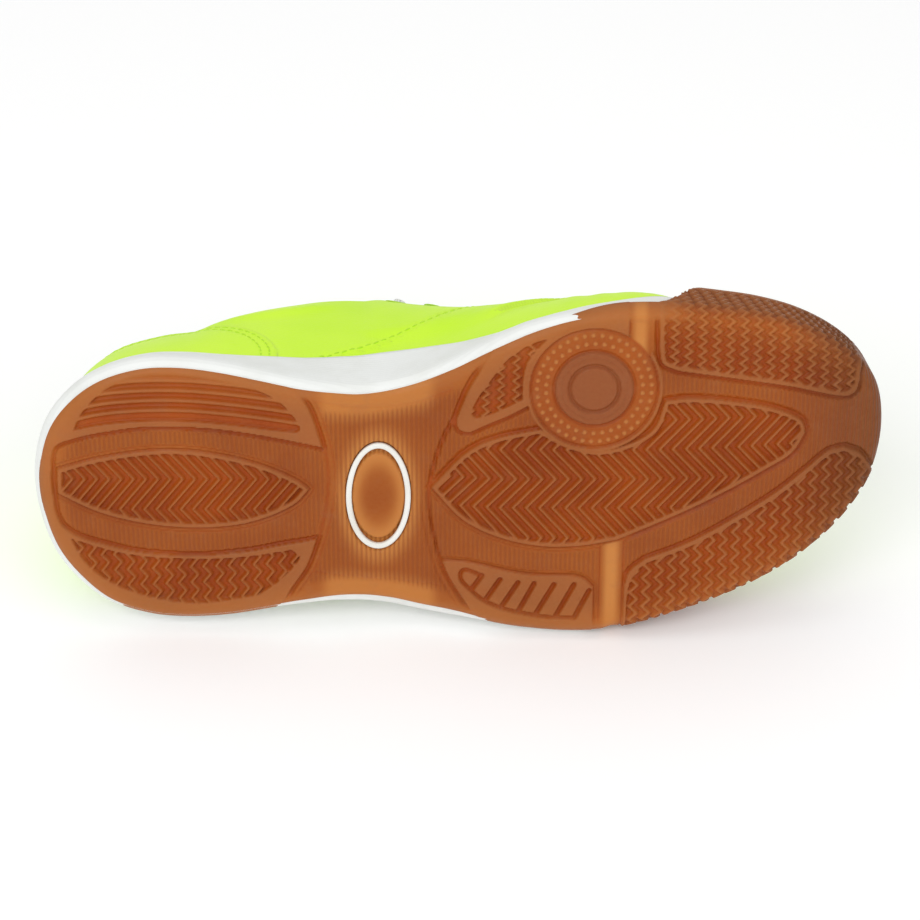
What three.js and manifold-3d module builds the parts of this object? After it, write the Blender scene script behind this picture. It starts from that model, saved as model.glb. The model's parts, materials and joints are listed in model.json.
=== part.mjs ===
// A junior indoor court shoe for the left foot, lying on its lateral side.
// Lengths are millimetres. The shoe is drawn standing on its sole: X runs from heel to toe,
// +Y is the lateral side, +Z is up and Z = 0 is the plane that heel and forefoot stand on.
// At the end the whole shoe is laid down on its lateral sole edge and its upper.
import * as THREE from "three";
import { mergeVertices } from "three/addons/utils/BufferGeometryUtils.js";
import { ConvexHull } from "three/addons/math/ConvexHull.js";
import Module from "manifold-3d";

const wasm = await Module();
wasm.setup();

// Driving dimensions of the sole
const SOLE_LENGTH = 232;
const HEEL_WIDTH = 76;
const WAIST_WIDTH = 63;
const BALL_WIDTH = 98;
const TOE_SPRING = 11;
const ARCH_LIFT = 3;
const HEEL_BEVEL = 1.6;
const GUM_THICKNESS = 3.4;
const WRAP_THICKNESS = 2.2;
const CURL_RADIUS = 5;
const CURL_REACH = 4.5;
const WRAP_HEIGHT = 19;
const WRAP_ANGLE = 1.62;
const CLEARANCE = 0.3;
// Cutting bodies run this far past the surfaces that they cut
const PAST = 1;

// Driving dimensions of the tread
const CHANNEL_DEPTH = 0.7;
const POCKET_DEPTH = 1.6;
const LIP_MARGIN = 1.6;
const RIM_WIDTH = 1.3;
const BAR_WIDTH = 1.2;
const PIVOT_RADIUS = 17.3;
const PIVOT_RING_OUTER = 10.6;
const PIVOT_RING_INNER = 6.5;
const PIVOT_DISC_RADIUS = 5.7;
const PIVOT_FLOOR = 1.1;
const FLEX_WIDTH = 5.8;
const FLEX_DEPTH = 1.6;
const OVAL_HALF_LENGTH = 16;
const OVAL_HALF_WIDTH = 8.9;
const OVAL_RING_WIDTH = 1.6;
const OVAL_RING_DEPTH = 1.4;
const OVAL_RING_PROUD = 0.25;

// Driving dimensions of midsole, insole and upper
const HEEL_FLOOR = 11;
const BALL_FLOOR = 7.5;
const HEEL_FEATHER = 15;
const ARCH_FEATHER = 20;
const BALL_FEATHER = 11.5;
const TOE_FEATHER = 15;
const LIP_THICKNESS = 2.4;
const SIDEWALL_BULGE = 5.5;
const INSOLE_THICKNESS = 3;
const UPPER_WALL = 2.4;
const QUARTER_STEP = 0.9;
const COUNTER_STEP = 1.7;
const EYESTAY_STEP = 1.6;
const INSTEP_HEIGHT = 73;
const THROAT_HALF_WIDTH = 13;
const EYESTAY_WIDTH = 15;
const EYELET_RADIUS = 2.2;
const EYELET_ROWS = 5;
const TONGUE_THICKNESS = 4;
const TONGUE_HALF_WIDTH = 21.5;
const LACE_WIDTH = 6;
const LACE_THICKNESS = 1.4;

// Small helpers
const clamp01 = (t) => Math.min(1, Math.max(0, t));
const mix = (a, b, t) => a + (b - a) * t;
function smooth(from, to, value) {
  const t = clamp01((value - from) / (to - from));
  return t * t * (3 - 2 * t);
}

// A value read from a table of [share of the sole length, value] rows, eased between the rows
function along(rows, share) {
  if (share <= rows[0][0]) return rows[0][1];
  for (let i = 1; i < rows.length; i += 1) {
    const [a, va] = rows[i - 1];
    const [b, vb] = rows[i];
    if (share <= b) {
      const before = rows[i - 2] ?? rows[i - 1];
      const after = rows[i + 1] ?? rows[i];
      const slopeA = ((vb - before[1]) / (b - before[0])) * (b - a);
      const slopeB = ((after[1] - va) / (after[0] - a)) * (b - a);
      const t = (share - a) / (b - a);
      const t2 = t * t;
      const t3 = t2 * t;
      const rise = slopeA * (t3 - 2 * t2 + t) + slopeB * (t3 - t2);
      return va * (2 * t3 - 3 * t2 + 1) + vb * (3 * t2 - 2 * t3) + rise;
    }
  }
  return rows[rows.length - 1][1];
}

// Tread edge, where the sole starts to curl up. Columns: station as a share of the sole length,
// medial and lateral distance from the heel's centre line as shares of the width they follow.
const TREAD_EDGE = [
  [0.030, -0.197, 0.210, HEEL_WIDTH],
  [0.056, -0.309, 0.336, HEEL_WIDTH],
  [0.086, -0.375, 0.421, HEEL_WIDTH],
  [0.130, -0.417, 0.468, HEEL_WIDTH],
  [0.172, -0.421, 0.478, HEEL_WIDTH],
  [0.216, -0.403, 0.470, HEEL_WIDTH],
  [0.259, -0.452, 0.540, WAIST_WIDTH],
  [0.302, -0.416, 0.508, WAIST_WIDTH],
  [0.345, -0.390, 0.487, WAIST_WIDTH],
  [0.379, -0.376, 0.492, WAIST_WIDTH],
  [0.414, -0.387, 0.514, WAIST_WIDTH],
  [0.453, -0.425, 0.548, WAIST_WIDTH],
  [0.496, -0.319, 0.369, BALL_WIDTH],
  [0.539, -0.378, 0.392, BALL_WIDTH],
  [0.582, -0.429, 0.408, BALL_WIDTH],
  [0.625, -0.466, 0.416, BALL_WIDTH],
  [0.668, -0.488, 0.412, BALL_WIDTH],
  [0.711, -0.494, 0.390, BALL_WIDTH],
  [0.754, -0.487, 0.358, BALL_WIDTH],
  [0.797, -0.472, 0.322, BALL_WIDTH],
  [0.841, -0.451, 0.278, BALL_WIDTH],
  [0.884, -0.416, 0.221, BALL_WIDTH],
  [0.922, -0.366, 0.149, BALL_WIDTH],
  [0.950, -0.310, 0.072, BALL_WIDTH],
  [0.969, -0.246, -0.012, BALL_WIDTH],
];
const HEEL_TIP = new THREE.Vector3(0.017 * SOLE_LENGTH, -0.007 * HEEL_WIDTH, 0);
const TOE_TIP = new THREE.Vector3(0.977 * SOLE_LENGTH, -0.132 * BALL_WIDTH, 0);

// The closed tread edge, heel tip first, then the medial side, the toe and the lateral side
const edgePoints = [HEEL_TIP];
for (const [share, medial, , width] of TREAD_EDGE) {
  edgePoints.push(new THREE.Vector3(share * SOLE_LENGTH, medial * width, 0));
}
edgePoints.push(TOE_TIP);
for (const [share, , lateral, width] of [...TREAD_EDGE].reverse()) {
  edgePoints.push(new THREE.Vector3(share * SOLE_LENGTH, lateral * width, 0));
}
const treadEdge = new THREE.CatmullRomCurve3(edgePoints, true, "centripetal");
treadEdge.arcLengthDivisions = 2000;

// Samples of the tread edge with outward normals; each half has the same number of stations
const STATIONS = 31;
const HALF_STEPS = 400;
function halfOf(sign) {
  const line = [];
  for (let i = 0; i <= HALF_STEPS; i += 1) {
    const turn = sign > 0 ? 1 - (i / HALF_STEPS) * 0.5 : (i / HALF_STEPS) * 0.5;
    line.push(treadEdge.getPoint(turn % 1));
  }
  return line;
}
const medialHalf = halfOf(-1);
const lateralHalf = halfOf(1);
function resample(line, count) {
  const lengths = [0];
  for (let i = 1; i < line.length; i += 1) lengths.push(lengths[i - 1] + line[i].distanceTo(line[i - 1]));
  const total = lengths[lengths.length - 1];
  const points = [];
  let k = 1;
  for (let i = 0; i <= count; i += 1) {
    const target = (total * i) / count;
    while (k < line.length - 1 && lengths[k] < target) k += 1;
    const t = (target - lengths[k - 1]) / (lengths[k] - lengths[k - 1]);
    points.push(line[k - 1].clone().lerp(line[k], t));
  }
  return points;
}
function closedEdge(count) {
  const medial = resample(medialHalf, count);
  const lateral = resample(lateralHalf, count).reverse();
  return [...medial, ...lateral.slice(1, -1)];
}
function outwardNormals(points) {
  return points.map((point, i) => {
    const before = points[(i + points.length - 1) % points.length];
    const after = points[(i + 1) % points.length];
    const tangent = after.clone().sub(before).normalize();
    return new THREE.Vector3(tangent.y, -tangent.x, 0);
  });
}
const fineEdge = closedEdge(150);
const stationEdge = closedEdge(STATIONS);
const stationNormals = outwardNormals(stationEdge);

// Nearest point of the tread edge: signed distance outside, foot point and outward direction
function nearestEdge(x, y) {
  let best = Infinity;
  let footX = 0;
  let footY = 0;
  let inside = false;
  const n = fineEdge.length;
  for (let i = 0, j = n - 1; i < n; j = i, i += 1) {
    const a = fineEdge[j];
    const b = fineEdge[i];
    const dx = b.x - a.x;
    const dy = b.y - a.y;
    const t = clamp01(((x - a.x) * dx + (y - a.y) * dy) / (dx * dx + dy * dy));
    const qx = a.x + t * dx;
    const qy = a.y + t * dy;
    const gap = (x - qx) ** 2 + (y - qy) ** 2;
    if (gap < best) {
      best = gap;
      footX = qx;
      footY = qy;
    }
    if (b.y > y !== a.y > y && x < ((a.x - b.x) * (y - b.y)) / (a.y - b.y) + b.x) inside = !inside;
  }
  const distance = Math.sqrt(best);
  return { distance: inside ? -distance : distance, footX, footY };
}

// Height of the standing surface along the shoe: heel bevel, arch and toe spring
const BEVEL_END = 0.06;
const ARCH_CENTRE = 0.435;
const ARCH_HALF = 0.13;
const SPRING_START = 0.68;
function soleHeight(x) {
  const share = x / SOLE_LENGTH;
  let height = 0;
  if (share < BEVEL_END) height += HEEL_BEVEL * ((BEVEL_END - share) / BEVEL_END) ** 2;
  const arch = (share - ARCH_CENTRE) / ARCH_HALF;
  if (Math.abs(arch) < 1) height += ARCH_LIFT * (0.5 + 0.5 * Math.cos(Math.PI * arch));
  if (share > SPRING_START) height += TOE_SPRING * ((share - SPRING_START) / (1 - SPRING_START)) ** 2;
  return height;
}

// How far the flat sheet of gum reaches past the tread edge: a curl at the sides, a wrap at the toe
const WRAP_START_MEDIAL = 0.722;
const WRAP_START_LATERAL = 0.66;
const WRAP_RAMP = 0.028;
function wrapShare(x, y, lead = 0) {
  const start = y < -0.1 * BALL_WIDTH ? WRAP_START_MEDIAL : WRAP_START_LATERAL;
  return smooth(start - lead, start - lead + WRAP_RAMP, x / SOLE_LENGTH);
}
const WRAP_CURL = CURL_RADIUS * WRAP_ANGLE;
const WRAP_STRAIGHT = (WRAP_HEIGHT - CURL_RADIUS * (1 - Math.cos(WRAP_ANGLE))) / Math.sin(WRAP_ANGLE);
function sheetReach(x, y) {
  return mix(CURL_REACH, WRAP_CURL + WRAP_STRAIGHT, wrapShare(x, y));
}

// The flat sheet bends up round the tread edge and follows the standing surface
function bendPoint(x, y, z) {
  const { distance, footX, footY } = nearestEdge(x, y);
  if (distance <= 0) return new THREE.Vector3(x, y, soleHeight(x) + z);
  const directionX = (x - footX) / distance;
  const directionY = (y - footY) / distance;
  const angle = Math.min(distance, WRAP_CURL) / CURL_RADIUS;
  const rest = Math.max(0, distance - WRAP_CURL);
  const thin = mix(1, WRAP_THICKNESS / GUM_THICKNESS, smooth(0, WRAP_CURL, distance));
  const out = CURL_RADIUS * Math.sin(angle) + rest * Math.cos(angle) - z * thin * Math.sin(angle);
  const up = CURL_RADIUS * (1 - Math.cos(angle)) + rest * Math.sin(angle) + z * thin * Math.cos(angle);
  return new THREE.Vector3(footX + directionX * out, footY + directionY * out, soleHeight(footX) + up);
}

// Conversions between plain triangle lists, geometries and solids
function solidFrom(geometry) {
  const bare = geometry.index ? geometry.toNonIndexed() : geometry.clone();
  bare.deleteAttribute("normal");
  bare.deleteAttribute("uv");
  const merged = mergeVertices(bare, 1e-4);
  return new wasm.Manifold(new wasm.Mesh({
    numProp: 3,
    vertProperties: new Float32Array(merged.attributes.position.array),
    triVerts: new Uint32Array(merged.index.array),
  }));
}
function geometryFrom(solid) {
  const mesh = solid.getMesh();
  const positions = [];
  for (let i = 0; i < mesh.vertProperties.length; i += mesh.numProp) {
    positions.push(mesh.vertProperties[i], mesh.vertProperties[i + 1], mesh.vertProperties[i + 2]);
  }
  const geometry = new THREE.BufferGeometry();
  geometry.setAttribute("position", new THREE.Float32BufferAttribute(positions, 3));
  geometry.setIndex(Array.from(mesh.triVerts));
  return geometry;
}
function joined(solids) {
  return solids.reduce((all, next) => all.add(next));
}

// A closed loft of rings with equal point counts; caps are zipped between the two halves
function loft(rings) {
  const positions = rings.flat().flatMap((p) => [p.x, p.y, p.z]);
  const count = rings[0].length;
  const half = count / 2;
  const index = [];
  for (let r = 0; r + 1 < rings.length; r += 1) {
    for (let i = 0; i < count; i += 1) {
      const j = (i + 1) % count;
      const a = r * count + i;
      const b = r * count + j;
      index.push(a, b, b + count, a, b + count, a + count);
    }
  }
  const cap = (base, flip) => {
    const at = (k) => base + ((k + count) % count);
    for (let k = 0; k < half; k += 1) {
      const quad = [[at(k), at(k + 1), at(-k - 1)], [at(k), at(-k - 1), at(-k)]];
      for (const [a, b, c] of quad) {
        if (a !== b && b !== c && a !== c) index.push(...(flip ? [a, c, b] : [a, b, c]));
      }
    }
  };
  cap(0, true);
  cap((rings.length - 1) * count, false);
  const geometry = new THREE.BufferGeometry();
  geometry.setAttribute("position", new THREE.Float32BufferAttribute(positions, 3));
  geometry.setIndex(index);
  return solidFrom(geometry);
}

// A prism over a flat outline of [x, y] points, between two heights
function prism(outline, low, high) {
  const shape = new THREE.Shape(outline.map(([x, y]) => new THREE.Vector2(x, y)));
  const geometry = new THREE.ExtrudeGeometry(shape, { depth: high - low, bevelEnabled: false });
  geometry.translate(0, 0, low);
  return solidFrom(geometry);
}
// A prism over a side-view outline of [x, z] points, between two Y values
function sidePrism(outline, low, high) {
  const shape = new THREE.Shape(outline.map(([x, z]) => new THREE.Vector2(x, z)));
  const geometry = new THREE.ExtrudeGeometry(shape, { depth: high - low, bevelEnabled: false });
  geometry.rotateX(Math.PI / 2);
  geometry.translate(0, high, 0);
  return solidFrom(geometry);
}

// Splits edges whose middle would lie off the bent surface, then bends every point
const BEND_TOLERANCE = 0.5;
const BEND_ROUNDS = 9;
function bendSolid(solid) {
  const mesh = solid.getMesh();
  const flat = [];
  for (let i = 0; i < mesh.vertProperties.length; i += mesh.numProp) {
    flat.push(new THREE.Vector3(...mesh.vertProperties.slice(i, i + 3)));
  }
  const bent = flat.map((p) => bendPoint(p.x, p.y, p.z));
  let triangles = [];
  for (let i = 0; i < mesh.triVerts.length; i += 3) triangles.push(Array.from(mesh.triVerts.slice(i, i + 3)));
  for (let round = 0; round < BEND_ROUNDS; round += 1) {
    const middles = new Map();
    const middleOf = (a, b) => {
      const key = a < b ? `${a}_${b}` : `${b}_${a}`;
      if (middles.has(key)) return middles.get(key);
      const middle = flat[a].clone().add(flat[b]).multiplyScalar(0.5);
      const onSurface = bendPoint(middle.x, middle.y, middle.z);
      const chord = bent[a].clone().add(bent[b]).multiplyScalar(0.5);
      let found = -1;
      if (onSurface.distanceTo(chord) > BEND_TOLERANCE) {
        found = flat.length;
        flat.push(middle);
        bent.push(onSurface);
      }
      middles.set(key, found);
      return found;
    };
    const next = [];
    for (const [a, b, c] of triangles) {
      const ab = middleOf(a, b);
      const bc = middleOf(b, c);
      const ca = middleOf(c, a);
      const cuts = (ab >= 0) + (bc >= 0) + (ca >= 0);
      if (cuts === 0) next.push([a, b, c]);
      if (cuts === 3) next.push([a, ab, ca], [ab, b, bc], [ca, bc, c], [ab, bc, ca]);
      if (cuts === 1 && ab >= 0) next.push([a, ab, c], [ab, b, c]);
      if (cuts === 1 && bc >= 0) next.push([b, bc, a], [bc, c, a]);
      if (cuts === 1 && ca >= 0) next.push([c, ca, b], [ca, a, b]);
      if (cuts === 2 && ca < 0) next.push([ab, b, bc], [a, ab, bc], [a, bc, c]);
      if (cuts === 2 && ab < 0) next.push([bc, c, ca], [b, bc, ca], [b, ca, a]);
      if (cuts === 2 && bc < 0) next.push([ca, a, ab], [c, ca, ab], [c, ab, b]);
    }
    const grew = next.length > triangles.length;
    triangles = next;
    if (!grew) break;
  }
  const geometry = new THREE.BufferGeometry();
  const positions = bent.flatMap((p) => [p.x, p.y, p.z]);
  geometry.setAttribute("position", new THREE.Float32BufferAttribute(positions, 3));
  geometry.setIndex(triangles.flat());
  return solidFrom(geometry);
}

// Outlines of the tread, drawn flat. A point is [share of sole length, share of ball width].
function edgeLine(points, steps = 5) {
  const curve = new THREE.CatmullRomCurve3(
    points.map(([a, b]) => new THREE.Vector3(a * SOLE_LENGTH, b * BALL_WIDTH, 0)), false, "centripetal",
  );
  const count = points.length > 2 ? steps * (points.length - 1) : 1;
  return curve.getPoints(count).map((p) => [p.x, p.y]);
}
// A closed outline of several edges; neighbouring edges share their corner
function islandOutline(edges, steps) {
  const outline = [];
  for (const edge of edges) outline.push(...edgeLine(edge, steps).slice(0, -1));
  return outline;
}
function circle(centreX, centreY, radiusX, radiusY, count) {
  const outline = [];
  for (let i = 0; i < count; i += 1) {
    const turn = (2 * Math.PI * i) / count;
    outline.push([centreX + radiusX * Math.cos(turn), centreY + radiusY * Math.sin(turn)]);
  }
  return outline;
}
function signedArea(outline) {
  let area = 0;
  outline.forEach(([x, y], i) => {
    const [nx, ny] = outline[(i + 1) % outline.length];
    area += (x * ny - nx * y) / 2;
  });
  return area;
}
// The outline moved inwards by a rim's width
function inset(outline, width) {
  const turn = Math.sign(signedArea(outline));
  return outline.map(([x, y], i) => {
    const [px, py] = outline[(i + outline.length - 1) % outline.length];
    const [nx, ny] = outline[(i + 1) % outline.length];
    const a = new THREE.Vector2(x - px, y - py).normalize();
    const b = new THREE.Vector2(nx - x, ny - y).normalize();
    const bisector = new THREE.Vector2(-(a.y + b.y), a.x + b.x).normalize();
    const lean = Math.max(0.35, bisector.dot(new THREE.Vector2(-a.y, a.x)));
    return [x + (turn * width * bisector.x) / lean, y + (turn * width * bisector.y) / lean];
  });
}

const HEEL_MEDIAL_ISLAND = [
  [[0.032, -0.190], [0.070, -0.200], [0.140, -0.212], [0.230, -0.195], [0.318, -0.135]],
  [[0.318, -0.135], [0.306, -0.225], [0.262, -0.290], [0.215, -0.325]],
  [[0.215, -0.325], [0.150, -0.338], [0.095, -0.318], [0.055, -0.265], [0.032, -0.190]],
];
const HEEL_CENTRE_ISLAND = [
  [[0.024, -0.056], [0.075, -0.092], [0.162, -0.116], [0.250, -0.080], [0.305, -0.022], [0.318, 0.004]],
  [[0.318, 0.004], [0.300, 0.050], [0.242, 0.108], [0.160, 0.119], [0.080, 0.082], [0.023, 0.018]],
  [[0.023, 0.018], [0.024, -0.056]],
];
const HEEL_LATERAL_ISLAND = [
  [[0.032, 0.160], [0.075, 0.190], [0.170, 0.208], [0.240, 0.205], [0.316, 0.170]],
  [[0.316, 0.170], [0.305, 0.250], [0.275, 0.310], [0.240, 0.345]],
  [[0.240, 0.345], [0.180, 0.362], [0.120, 0.345], [0.072, 0.290], [0.032, 0.160]],
];
const FORE_CENTRE_ISLAND = [
  [[0.463, 0.010], [0.507, -0.108], [0.542, -0.152], [0.590, -0.178]],
  [[0.590, -0.178], [0.620, -0.136], [0.655, -0.114], [0.690, -0.130], [0.722, -0.178], [0.735, -0.262]],
  [[0.735, -0.262], [0.762, -0.268], [0.814, -0.254], [0.866, -0.223], [0.897, -0.182], [0.902, -0.148]],
  [[0.902, -0.148], [0.888, -0.090], [0.854, -0.040], [0.785, 0.048], [0.716, 0.124], [0.682, 0.160]],
  [[0.682, 0.160], [0.640, 0.178], [0.595, 0.180], [0.543, 0.153], [0.500, 0.105], [0.463, 0.010]],
];
const MEDIAL_REAR_ISLAND = [
  [[0.494, -0.170], [0.512, -0.306], [0.545, -0.410]],
  [[0.545, -0.410], [0.595, -0.455]],
  [[0.595, -0.455], [0.571, -0.370], [0.566, -0.300], [0.576, -0.235]],
  [[0.576, -0.235], [0.530, -0.182], [0.502, -0.158], [0.494, -0.170]],
];
const TOE_MEDIAL_ISLAND = [
  [[0.726, -0.750], [0.728, -0.400], [0.740, -0.360]],
  [[0.740, -0.360], [0.812, -0.320], [0.883, -0.281], [0.952, -0.237]],
  [[0.952, -0.237], [1.080, -0.330]],
  [[1.080, -0.330], [1.010, -0.750]],
  [[1.010, -0.750], [0.726, -0.750]],
];
const LATERAL_REAR_ISLAND = [
  [[0.474, 0.238], [0.507, 0.238], [0.578, 0.270], [0.641, 0.279], [0.655, 0.307]],
  [[0.655, 0.307], [0.656, 0.402]],
  [[0.656, 0.402], [0.600, 0.402], [0.545, 0.382], [0.505, 0.340], [0.474, 0.238]],
];
const LATERAL_FRONT_ISLAND = [
  [[0.692, 0.700], [0.697, 0.270], [0.717, 0.222]],
  [[0.717, 0.222], [0.769, 0.173], [0.821, 0.105], [0.872, 0.034], [0.915, -0.036], [0.938, -0.094]],
  [[0.938, -0.094], [0.960, -0.098]],
  [[0.960, -0.098], [1.120, -0.060]],
  [[1.120, -0.060], [1.120, 0.700]],
  [[1.120, 0.700], [0.692, 0.700]],
];
const PIVOT_CENTRE = [0.652 * SOLE_LENGTH, -0.300 * BALL_WIDTH];
const OVAL_CENTRE = [0.400 * SOLE_LENGTH, 0.038 * BALL_WIDTH];

// A pocket inside an island's rim, cut to its floor except where ribs stand
function pocketCut(outline, ribs) {
  const floor = prism(inset(outline, RIM_WIDTH), -PAST, POCKET_DEPTH);
  return ribs.reduce((rest, rib) => rest.subtract(rib), floor);
}

// Long ribs of the medial heel island follow its lower edge
const LONG_RIBS = 4;
const LONG_RIB_PITCH = 2.92;
function longRibs() {
  const ribs = [];
  const lower = edgeLine(HEEL_MEDIAL_ISLAND[0], 3);
  for (let i = 1; i <= LONG_RIBS; i += 1) {
    const line = lower.map(([x, y]) => [x, y - i * LONG_RIB_PITCH]);
    const back = [...line].reverse().map(([x, y]) => [x, y - BAR_WIDTH]);
    ribs.push(prism([...line, ...back], -2 * PAST, POCKET_DEPTH + PAST));
  }
  return ribs;
}

// Slanted slots of the lateral rear island, from the first slot to the last
const SLOT_COUNT = 7;
const SLOT_WIDTH = 1.9;
const SLOT_TOP = { x: [0.524, 0.648], y: [0.278, 0.312] };
const SLOT_FOOT_Y = [0.330, 0.388];
const SLOT_SLANT = [3.2, 4.2];
function slotCuts() {
  const cuts = [];
  for (let i = 0; i < SLOT_COUNT; i += 1) {
    const share = i / (SLOT_COUNT - 1);
    const topX = mix(...SLOT_TOP.x, share) * SOLE_LENGTH;
    const topY = mix(...SLOT_TOP.y, share) * BALL_WIDTH;
    const footX = topX - mix(...SLOT_SLANT, share);
    const footY = mix(...SLOT_FOOT_Y, Math.sqrt(share)) * BALL_WIDTH;
    const outline = [[topX, topY], [topX + SLOT_WIDTH, topY], [footX + SLOT_WIDTH, footY], [footX, footY]];
    cuts.push(prism(outline, -PAST, POCKET_DEPTH));
  }
  return cuts;
}

// The gum sheet, bent, between two levels of its thickness; rings follow the curl and the wrap
const CURL_LEVELS = [0, 0.36, 0.7, 1];
const WRAP_LEVELS = [0, 0.2, 0.42, 1];
function bentSheet(low, high, extra = 0) {
  const ringOf = (level, z) => stationEdge.map((p, i) => {
    const share = mix(CURL_LEVELS[level], WRAP_LEVELS[level], wrapShare(p.x, p.y));
    const reach = share * (sheetReach(p.x, p.y) + extra);
    return bendPoint(p.x + stationNormals[i].x * reach, p.y + stationNormals[i].y * reach, z);
  });
  const levels = CURL_LEVELS.map((_, level) => level);
  const outer = levels.map((level) => ringOf(level, low));
  const inner = [...levels].reverse().map((level) => ringOf(level, high));
  return loft([...outer, ...inner]);
}

// Outsole: gum sheet with raised islands, pockets, ribs, the pivot disc and flex grooves
const ISLAND_ROOT = 1;
function outsole() {
  const outlines = [
    HEEL_MEDIAL_ISLAND, HEEL_CENTRE_ISLAND, HEEL_LATERAL_ISLAND, FORE_CENTRE_ISLAND,
    MEDIAL_REAR_ISLAND, TOE_MEDIAL_ISLAND, LATERAL_REAR_ISLAND, LATERAL_FRONT_ISLAND,
  ].map((edges) => islandOutline(edges, 2));
  const [heelMedial, heelCentre, , foreCentre] = outlines;
  const rootLevel = GUM_THICKNESS - ISLAND_ROOT;
  const areas = joined(outlines.map((outline) => bendSolid(prism(outline, -2 * PAST, GUM_THICKNESS))));
  const islands = bentSheet(0, rootLevel, -LIP_MARGIN).intersect(areas);
  const pivotCircle = (radius, low, high, count) => {
    const outline = circle(...PIVOT_CENTRE, radius, radius, count);
    return prism(outline, low, high);
  };
  const pivotParts = pivotCircle(PIVOT_RING_OUTER, 0, rootLevel, 22)
    .subtract(pivotCircle(PIVOT_RING_INNER, -PAST, PIVOT_FLOOR, 18))
    .add(pivotCircle(PIVOT_DISC_RADIUS, 0, rootLevel, 16));
  const cuts = [
    pocketCut(foreCentre, []),
    pocketCut(heelCentre, []),
    pocketCut(heelMedial, longRibs()),
    ...slotCuts(),
    ...flexCuts(),
    ovalSeat(),
  ];
  let solid = bentSheet(CHANNEL_DEPTH, GUM_THICKNESS).add(islands);
  solid = solid.subtract(bendSolid(pivotCircle(PIVOT_RADIUS, -PAST, PIVOT_FLOOR, 28)));
  solid = solid.add(bendSolid(pivotParts));
  for (const cut of cuts) solid = solid.subtract(bendSolid(cut));
  return solid;
}

// Grooves that let the forefoot flex, one to each edge. Columns: station share, distance to the
// side where the groove starts on its rear and on its front edge, and where it runs out.
const FLEX_GROOVES = [
  [0.701, -0.40, -0.31, -0.60],
  [0.677, 0.19, 0.18, 0.52],
];
function flexCuts() {
  const half = FLEX_WIDTH / 2;
  return FLEX_GROOVES.map(([share, rearStart, frontStart, end]) => {
    const x = share * SOLE_LENGTH;
    const corners = [[x - half, rearStart], [x + half, frontStart], [x + half, end], [x - half, end]];
    const outline = corners.map(([cornerX, side]) => [cornerX, side * BALL_WIDTH]);
    return prism(outline, -PAST, FLEX_DEPTH);
  });
}

// The groove in the shank that the oval ring sits in
function ovalSeat() {
  const [ovalX, ovalY] = OVAL_CENTRE;
  const oval = (outward) => circle(ovalX, ovalY, OVAL_HALF_WIDTH + outward, OVAL_HALF_LENGTH + outward, 22);
  const seat = prism(oval(CLEARANCE), -PAST, CHANNEL_DEPTH + OVAL_RING_DEPTH);
  return seat.subtract(prism(oval(-OVAL_RING_WIDTH - CLEARANCE), -2 * PAST, GUM_THICKNESS));
}

// White oval ring seated in the shank
function ovalRing() {
  const [ovalX, ovalY] = OVAL_CENTRE;
  const low = CHANNEL_DEPTH - OVAL_RING_PROUD;
  const high = CHANNEL_DEPTH + OVAL_RING_DEPTH - CLEARANCE;
  const oval = (outward) => circle(ovalX, ovalY, OVAL_HALF_WIDTH + outward, OVAL_HALF_LENGTH + outward, 22);
  const hole = prism(oval(-OVAL_RING_WIDTH), low - PAST, high + PAST);
  return bendSolid(prism(oval(0), low, high).subtract(hole));
}

// A ring round the shoe: offset outwards from the tread edge and height, both functions of a station
function ringAt(offsetOf, heightOf) {
  return stationEdge.map((p, i) => {
    const offset = offsetOf(p.x / SOLE_LENGTH, p.y);
    const x = p.x + stationNormals[i].x * offset;
    const y = p.y + stationNormals[i].y * offset;
    return new THREE.Vector3(x, y, heightOf(x / SOLE_LENGTH, y));
  });
}

// Heights of the footbed and of the feather line, where the upper meets the midsole's lip
function floorHeight(share) {
  return soleHeight(share * SOLE_LENGTH) + mix(HEEL_FLOOR, BALL_FLOOR, smooth(0.3, 0.62, share));
}
function featherHeight(share, y) {
  const archPeak = y < 0 ? ARCH_FEATHER : mix(HEEL_FEATHER, ARCH_FEATHER, 0.4);
  const rear = mix(HEEL_FEATHER, archPeak, smooth(0.15, 0.40, share));
  const front = mix(rear, BALL_FEATHER, smooth(0.40, 0.60, share));
  return mix(front, TOE_FEATHER, smooth(0.66, 0.74, share)) + soleHeight(share * SOLE_LENGTH) * 0.9;
}
// Where the gum wraps the toe, the midsole stays inside the wrap, which leans in towards its top
const WRAP_LEAD = 0.020;
const WRAPPED_SIDE_REACH = 1.6;
const WRAPPED_TOP_REACH = 1.4;
// Reach of the midsole's top edge past the tread edge. Columns: station share, reach in mm.
const MEDIAL_REACH = [
  [0, 2.6], [0.2, 2.4], [0.3, 5.0], [0.39, 7.0], [0.46, 6.0], [0.55, 2.8], [0.7, 2.2], [1, 2.2],
];
const LATERAL_REACH = [[0, 2.6], [0.2, 2.6], [0.38, 4.6], [0.5, 3.2], [0.7, 2.2], [1, 2.2]];
function topReach(share, y) {
  const reach = along(y < 0 ? MEDIAL_REACH : LATERAL_REACH, share);
  return mix(reach, WRAPPED_TOP_REACH, wrapShare(share * SOLE_LENGTH, y));
}
// The sidewall bulges past the gum, except under the toe wrap
function sidewallReach(share, y, bulge) {
  return mix(bulge, WRAPPED_SIDE_REACH, wrapShare(share * SOLE_LENGTH, y, WRAP_LEAD));
}

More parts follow.
